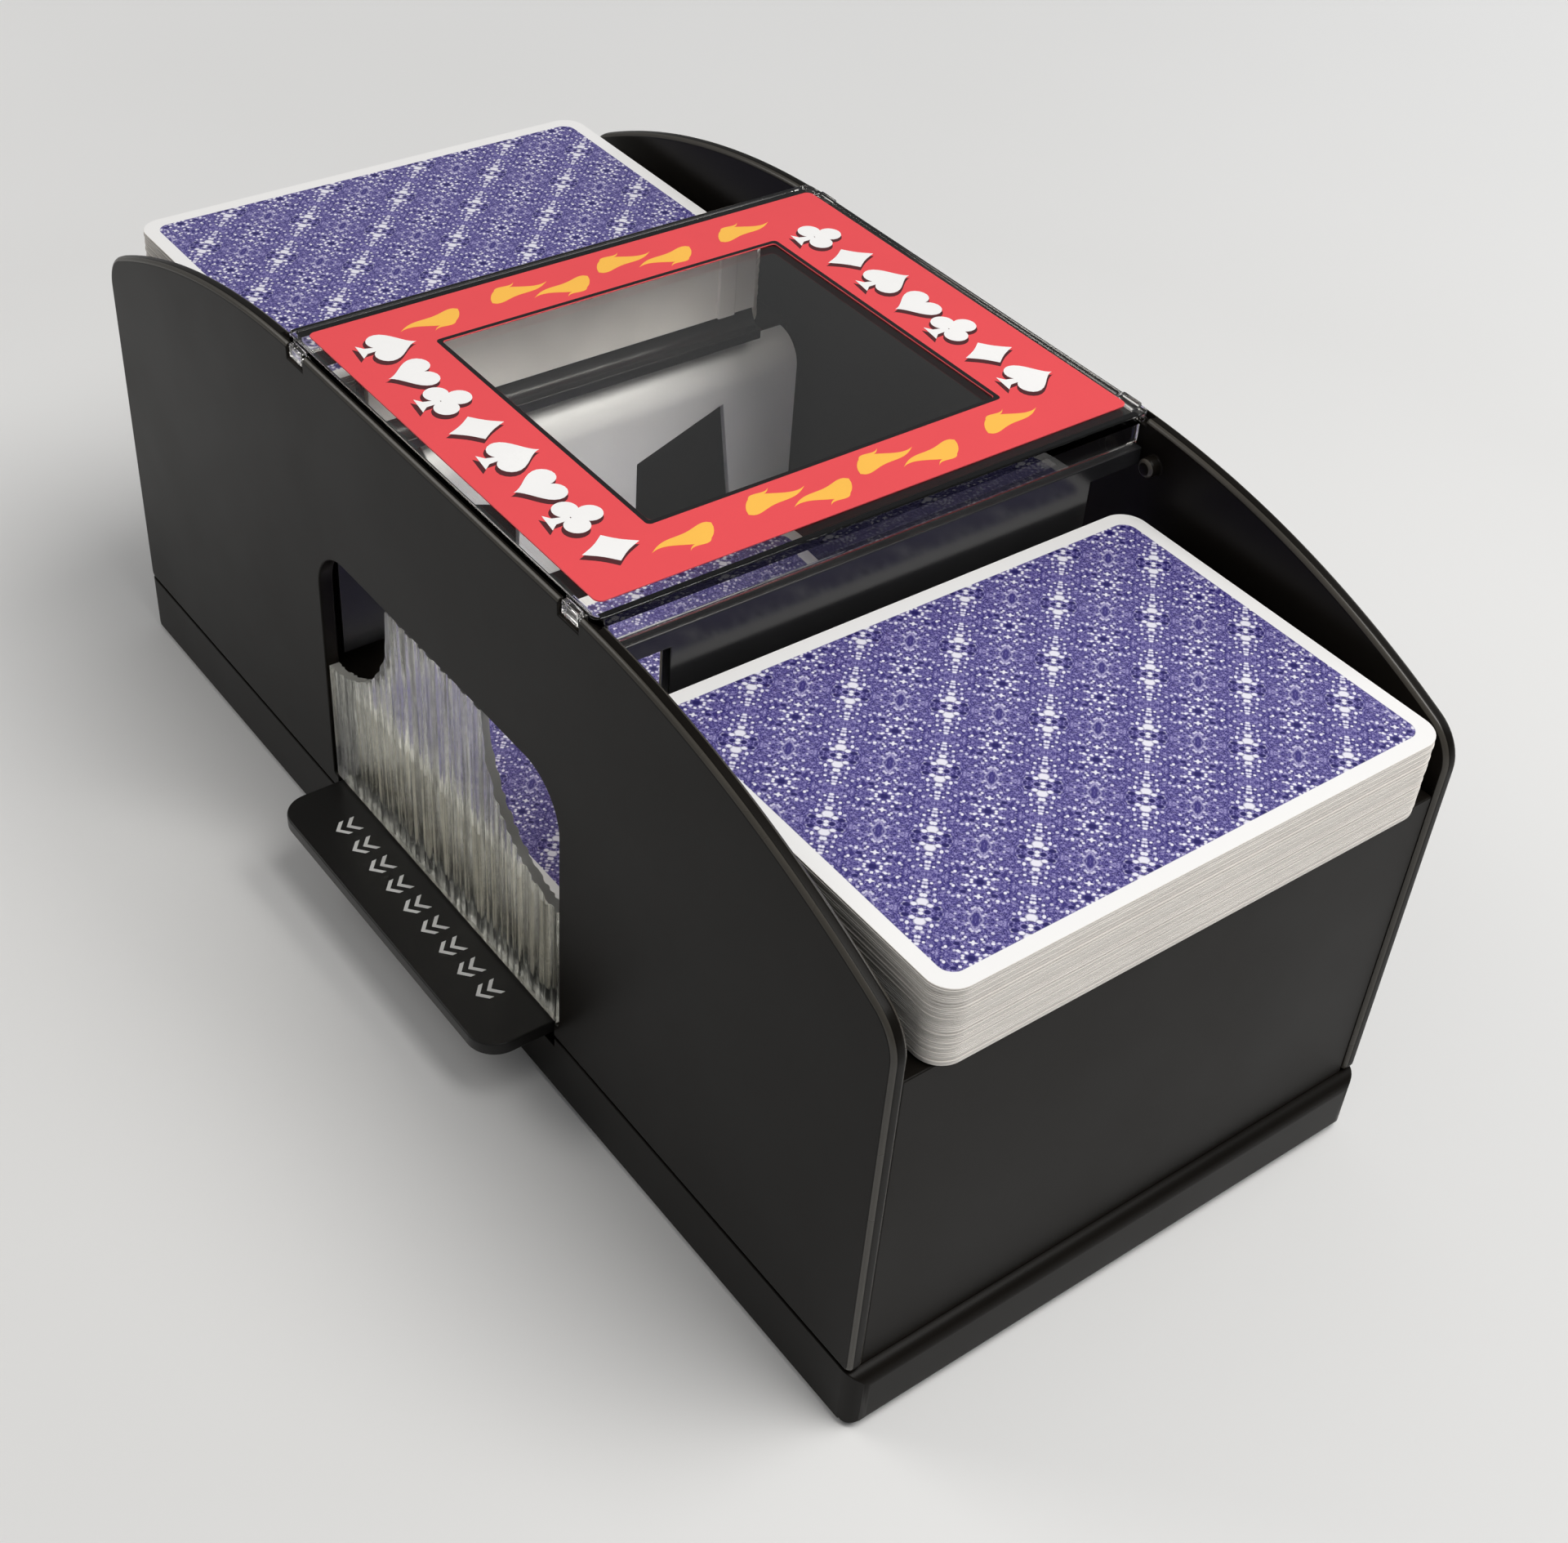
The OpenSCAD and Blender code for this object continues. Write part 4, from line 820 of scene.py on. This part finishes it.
def bin_front():
    """The bin's front: a scooped sheet with irregular upright flutes on both faces."""
    lo, hi = box_of("card_bin")
    rng = random.Random(21)
    waves = [
        (rng.uniform(0.9, 4.2), rng.uniform(0, 7), rng.uniform(0.3, 1.0), rng.uniform(-0.012, 0.012))
        for _ in range(22)
    ]

    def flute(x, z, phase):
        """Height of the relief from 0 to 1: many waves of their own pitch f, start p, size a and slant s."""
        total = sum(
            a * math.sin(f * x * 1.25 + p + phase * (f + p) + s * f * (z - 30) + 0.25 * math.sin(0.21 * z + p))
            for f, p, a, s in waves
        )
        return 0.5 + 0.5 * math.tanh(total * 0.9)

    def top(x):
        x = abs(x)
        tab, scoop_x, scoop_z, scoop_r = 14.0, 36.0, 61.0, 22.0
        if x <= tab:
            return hi.z
        return scoop_z - math.sqrt(max(scoop_r**2 - (min(x, scoop_x) - scoop_x) ** 2, 0))

    xs = list(np.arange(lo.x, hi.x, 0.27)) + [hi.x]
    rows, thick = 12, 1.8
    bm = bmesh.new()
    front, back = [], []
    for x in xs:
        end = min(abs(x - lo.x), abs(hi.x - x))
        fade = min(1.0, end / 1.0)
        column_f, column_b = [], []
        for r in range(rows + 1):
            z = lo.z + (top(x) - lo.z) * r / rows
            rim = min(1.0, (z - lo.z) / 2.5)
            column_f.append(bm.verts.new((x, lo.y + 0.02 + 0.34 * flute(x, z, 0) * fade * rim, z)))
            column_b.append(bm.verts.new((x, lo.y + thick - 0.30 * flute(x, z, 1.3) * fade * rim, z)))
        front.append(column_f)
        back.append(column_b)
    for i in range(len(xs) - 1):
        for r in range(rows):
            bm.faces.new((front[i][r], front[i + 1][r], front[i + 1][r + 1], front[i][r + 1]))
            bm.faces.new((back[i + 1][r], back[i][r], back[i][r + 1], back[i + 1][r + 1]))
        # the top faces take the lighter rim colour: painted highlight
        bm.faces.new((front[i][rows], front[i + 1][rows], back[i + 1][rows], back[i][rows])).material_index = 1
        bm.faces.new((front[i + 1][0], front[i][0], back[i][0], back[i + 1][0]))
    for i in (0, -1):
        for r in range(rows):
            bm.faces.new((front[i][r], back[i][r], back[i][r + 1], front[i][r + 1]))
    bmesh.ops.recalc_face_normals(bm, faces=bm.faces)
    return bm


bin_lo, bin_hi = box_of("card_bin")
bx, bz, bt = bin_hi.x, bin_lo.z, 1.8
front_y = bin_lo.y + 0.9
walls = loose(block((-bx, front_y, bz), (bx, bin_hi.y, bz + bt)))
combine(
    walls, "UNION",
    block((-bx, bin_hi.y - bt, bz), (bx, bin_hi.y, bz + 29.5)),
    block((-bx, front_y, bz), (-bx + bt, bin_hi.y, bz + 23.5)),
    block((bx - bt, front_y, bz), (bx, bin_hi.y, bz + 23.5)),
)
round_edges(walls, 0.3)
bake(walls)
combine(walls, "UNION", bin_front())
tub = piece("card_bin_moulding", walls, "bin", "bin_clear", [BIN, BIN_RIM_HIGHLIGHT], ["card_bin"], smooth=50)
tub.visible_shadow = False

# ---- press bar, switch ----

shell("press_bar_moulding", "press_bar", "press_bar", "press_black", PRESS, 0.3, edge=HOUSING_PAINTED_HIGHLIGHT)
bar_lo, bar_hi = box_of("press_bar")
chevron = [(-1.7, 1.5), (0, 0), (1.7, 1.5), (1.7, 2.3), (0, 0.8), (-1.7, 2.3)]
marks = []
for k in range(9):
    x = (k - 4) * 5.6
    for step in (0, 1):
        y = bar_lo.y + 5.2 + 2.0 * step
        marks.append(prism([(x + a, y + b) for a, b in chevron], "xy", bar_hi.z - 0.1, bar_hi.z + 0.02))
piece("press_bar_marks", merged(*marks), "press_bar", "press_black", BAR_INK)
shell("press_bar_pin_rods", "press_bar_pins", "housing", "bright_steel", STEEL, 0.2)
spring_lo, spring_hi = box_of("press_bar_springs")
spring_x, spring_y, spring_r, wire_r, per_turn = 22, -42, 2.4, 0.25, 32
steps = 5 * per_turn
low, high = spring_lo.z + 0.27, spring_hi.z - 0.27
coils = []
for sx in (-1, 1):
    pts = []
    for k in range(steps + 1):
        t = 2 * math.pi * k / per_turn
        x, y = sx * spring_x + spring_r * math.cos(t), spring_y + spring_r * math.sin(t)
        pts.append((x, y, low + (high - low) * k / steps))
    coils.append(sweep(pts, wire_r, 10))
springs = piece("press_bar_coils", merged(*coils), "housing", "bright_steel", STEEL, ["press_bar_springs"])
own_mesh(springs)
shell("switch_case", "switch_body", "housing", "switch_black", SWITCH, 0.25)
shell("switch_plunger_cap", "switch_button", "switch_plunger", "button_red", BUTTON, 0.3)

# ---- rollers and drive ----

for side in ("right", "left"):
    roller = f"{side}_roller"
    lo, hi = box_of(f"{side}_roller_tyres")
    cx, cz = (lo.x + hi.x) / 2, (lo.z + hi.z) / 2
    radius = (hi.z - lo.z) / 2
    tyres, hubs = [], []
    for y in (-22, 22):
        profile = [(-5, radius - 3), (-5, radius - 0.5), (-4.7, radius - 0.1), (-4.4, radius)]
        for k in range(9):
            g = -4 + k
            profile += [(g - 0.22, radius), (g - 0.12, radius - 0.35), (g + 0.12, radius - 0.35), (g + 0.22, radius)]
        profile += [(4.4, radius), (4.7, radius - 0.1), (5, radius - 0.5), (5, radius - 3), (-5, radius - 3)]
        tyres.append(turned(profile, (cx, y, cz), (0, 1, 0), 72))
        r = radius - 3.01
        half = [
            (5.3, r), (5.5, r - 0.15), (5.5, r - 0.6), (5.3, r - 0.9), (4.4, r - 1.1), (4.4, 3.0), (5.2, 2.9),
            (5.5, 2.6), (5.5, 1.5),
        ]
        profile = [(-a, b) for a, b in reversed(half)] + half + [(-5.5, 1.5)]
        hubs.append(turned(profile, (cx, y, cz), (0, 1, 0), 64))
    piece(f"{roller}_tyre_rings", merged(*tyres), roller, "tyre_rubber", TYRE, [f"{side}_roller_tyres"])
    piece(f"{roller}_hub_drums", merged(*hubs), roller, "hub_white", HUB, [f"{side}_roller_hubs"])
    idler, rotor, motor = f"{side}_idler", f"{side}_rotor", f"{side}_motor"
    shell(f"{roller}_shaft_rod", f"{roller}_shaft", roller, "bright_steel", STEEL, 0.2)
    shell(f"{roller}_gear_wheel", f"{roller}_gear", roller, "gear_white", GEAR, 0.05, segments=1)
    shell(f"{idler}_wheel", f"{idler}_gear", idler, "gear_white", GEAR, 0.05, segments=1)
    shell(f"{rotor}_shaft_rod", f"{motor}_shaft", rotor, "bright_steel", STEEL, 0.12)
    shell(f"{rotor}_pinion", f"{motor}_pinion", rotor, "pinion_brass", BRASS, 0.04, segments=1)
    shell(f"{motor}_can", motor, "housing", "motor_steel", MOTOR, 0.25)
shell("idler_pin_rods", "idler_pins", "housing", "bright_steel", STEEL, 0.1)
shell("shaft_bush_rings", "shaft_bushes", "housing", "bush_bronze", BRONZE, 0.1)

# ---- power ----

cell_lo, cell_hi = box_of("battery_cells")
cell_z, cell_r = (cell_lo.z + cell_hi.z) / 2, (cell_hi.z - cell_lo.z) / 2
cell_pitch = (cell_hi.y - cell_lo.y - 2 * cell_r) / 3
copper, black, nickel = 0, 1, 2
flat_end = [(0.15, 0), (0.15, 4.2), (0.0, 4.6), (0.0, cell_r - 1.0), (0.25, cell_r - 0.35), (0.75, cell_r - 0.1)]
wrap = [(along, cell_r) for along in (1.3, 15, 34, 47.6)]
shoulder = [(48.3, cell_r - 0.15), (48.8, cell_r - 0.6), (48.9, cell_r - 1.3), (48.6, cell_r - 2.2)]
tip = [(48.6, 3.3), (48.9, 2.75), (49.9, 2.7), (50.2, 2.4), (50.2, 0)]
profile = flat_end + wrap + shoulder + tip
kinds = [nickel] * 4 + [black] * 4 + [copper] * 4 + [nickel] * 6
CELL_START = 52.3  # x of the first cell's flat end
cells = []
for i in range(4):
    end_x, way = (CELL_START, 1) if i % 2 == 0 else (cell_lo.x + cell_hi.x - CELL_START, -1)
    cells.append(turned(profile, (end_x, (i - 1.5) * cell_pitch, cell_z), (way, 0, 0), 48, kinds))
jackets = [COPPER_JACKET, BLACK_JACKET, NICKEL]
piece("battery_cell_cans", merged(*cells), "housing", "cell_jacket", jackets, ["battery_cells"], smooth=30)
shell("battery_contact_plates", "battery_contacts", "housing", "contact_nickel", NICKEL, 0, smooth=45)
shell("red_wire_runs", "red_wires", "housing", "red_insulation", RED_WIRE, 0, smooth=60)
shell("black_wire_runs", "black_wires", "housing", "black_insulation", BLACK_WIRE, 0, smooth=60)

# ---- feet and screws ----

CORNERS = [(sx, sy) for sx in (-1, 1) for sy in (-1, 1)]
profile = [(0, 0), (0, 3.2), (0.12, 3.7), (0.45, 4.0), (1.0, 4.0), (1.0, 4.5), (2.0, 4.5), (2.0, 0)]
feet = [turned(profile, (sx * 88, sy * 43, 0), (0, 0, 1), 48) for sx, sy in CORNERS]
piece("rubber_foot_pads", merged(*feet), "housing", "foot_rubber", FOOT, ["rubber_feet"])


def cross_head(centre, axis, head_r, head_h, shank_r, length):
    """Cross-head screw; axis points out of the head."""
    axis = Vector(axis)
    dome = [(0, 0), (0, 0.45), (-0.12, 0.78), (-0.45, 0.97), (-0.7, 1), (-1, 1)]
    profile = [(a * head_h, r * head_r) for a, r in dome]
    profile += [(-head_h, shank_r), (-length + 1, shank_r), (-length, shank_r * 0.4), (-length, 0)]
    obj = loose(turned(profile, centre, axis, 40))
    u = axis.orthogonal().normalized()
    v = axis.cross(u)
    rot = Matrix((u, v, axis)).transposed().to_4x4()
    for a, b in ((0.62, 0.13), (0.13, 0.62)):
        cut = block((-head_r * a, -head_r * b, -head_h * 0.75), (head_r * a, head_r * b, 1))
        cut.transform(Matrix.Translation(centre) @ rot)
        combine(obj, "DIFFERENCE", cut)
    bm = bmesh.new()
    bm.from_mesh(obj.data)
    bpy.data.objects.remove(obj)
    return bm


case = [cross_head((sx * 99, sy * 39, 1.4), (0, 0, -1), 2.9, 1.6, 1.4, 14.1) for sx, sy in CORNERS]
piece("case_screw_set", merged(*case), "housing", "screw_zinc", ZINC, ["case_screws"])
side_screws = [
    cross_head((sx * SCREW_X, sy * 39.8, z), (0, -sy, 0), 2.6, 1.6, 1.25, 7.2) for sx, sy in CORNERS for z in SCREW_ZS
]
piece("panel_screw_set", merged(*side_screws), "housing", "screw_zinc", ZINC, ["panel_screws"])
shell("motor_screw_set", "motor_screws", "housing", "screw_zinc", ZINC, 0.12)

# ---- floor, light, camera ----

floor = bpy.data.objects.new("floor", bpy.data.meshes.new("floor"))
bm = bmesh.new()
bmesh.ops.create_grid(bm, x_segments=8, y_segments=8, size=3.0)
bm.to_mesh(floor.data)
bm.free()
s = Surface("floor_paper", Roughness=0.85, Specular_IOR_Level=0.2)
s.set("Base Color", s.mix(s.noise(120, 2), (0.80, 0.80, 0.795), (0.83, 0.83, 0.83)))
far = s.add("ShaderNodeVectorMath", {0: s.mm}, operation="LENGTH").outputs["Value"]
eye_ray = s.add("ShaderNodeLightPath").outputs["Is Camera Ray"]
s.set("Emission Strength", s.sum("MULTIPLY", s.spread(far, 250, 1300, 0.0, 0.46), eye_ray))  # fades into the backdrop
floor.data.materials.append(s.material)
scene.collection.objects.link(floor)


def area_light(name, place, target, size, power, colour=(1, 1, 1)):
    data = bpy.data.lights.new(name, "AREA")
    data.shape, data.size, data.size_y, data.energy, data.color = "RECTANGLE", size[0], size[1], power, colour
    obj = bpy.data.objects.new(name, data)
    obj.location = place
    obj.rotation_mode = "QUATERNION"
    obj.rotation_quaternion = (Vector(target) - Vector(place)).to_track_quat("-Z", "Y")
    scene.collection.objects.link(obj)


# name, place, target, size in metres, power in watts, colour
area_light("key", (0.36, 0.16, 0.80), (0, 0, 0.05), (0.5, 0.5), 5.4, (1.0, 0.985, 0.96))
area_light("back", (0.20, 0.85, 0.42), (0, 0, 0.06), (0.7, 0.30), 1.6, (0.97, 0.985, 1.0))
area_light("rim", (-0.60, -0.42, 0.62), (-0.05, 0, 0.05), (0.45, 0.45), 1.8, (1.0, 0.975, 0.94))

world = bpy.data.worlds.new("studio")
world.use_nodes = True
background = world.node_tree.nodes["Background"].inputs
background["Color"].default_value = (0.93, 0.94, 0.95, 1)
seen = world.node_tree.nodes.new("ShaderNodeLightPath").outputs["Is Camera Ray"]
level = world.node_tree.nodes.new("ShaderNodeMapRange")  # pale where it is seen, dimmer as a light
level.inputs["To Min"].default_value, level.inputs["To Max"].default_value = 0.24, 0.72
world.node_tree.links.new(seen, level.inputs["Value"])
world.node_tree.links.new(level.outputs[0], background["Strength"])
scene.world = world

# The camera stands where the photograph's did, aims at the middle of the machine's outline, and fills the frame.
eye = Vector((0.235, -0.172, 0.272))
ROLL = math.radians(5)
FILL = 0.86
ASPECT = 1920 / 1889
points = np.array([v.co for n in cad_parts.values() for v in n.data.vertices])
aim = Vector((0, 0, 0.04))
for _ in range(8):
    back = (eye - aim).normalized()
    right = Vector((-back.y, back.x, 0)).normalized()
    up = back.cross(right)
    right, up = (
        math.cos(ROLL) * right + math.sin(ROLL) * up,
        math.cos(ROLL) * up - math.sin(ROLL) * right,
    )
    rel = points - np.array(eye)
    depth = -rel @ np.array(back)
    px, py = rel @ np.array(right) / depth, rel @ np.array(up) / depth
    off_x, off_y = float(px.min() + px.max()) / 2, float(py.min() + py.max()) / 2
    aim = eye + (-back + off_x * right + off_y * up)
camera_data = bpy.data.cameras.new("camera")
camera_data.sensor_width = 36
camera_data.lens = FILL * 36 / float(max(np.ptp(px), np.ptp(py) * ASPECT))
camera_data.clip_start, camera_data.clip_end = 0.01, 50
camera = bpy.data.objects.new("camera", camera_data)
camera.matrix_world = Matrix.Translation(eye) @ Matrix((right, up, back)).transposed().to_4x4()
scene.collection.objects.link(camera)
scene.camera = camera
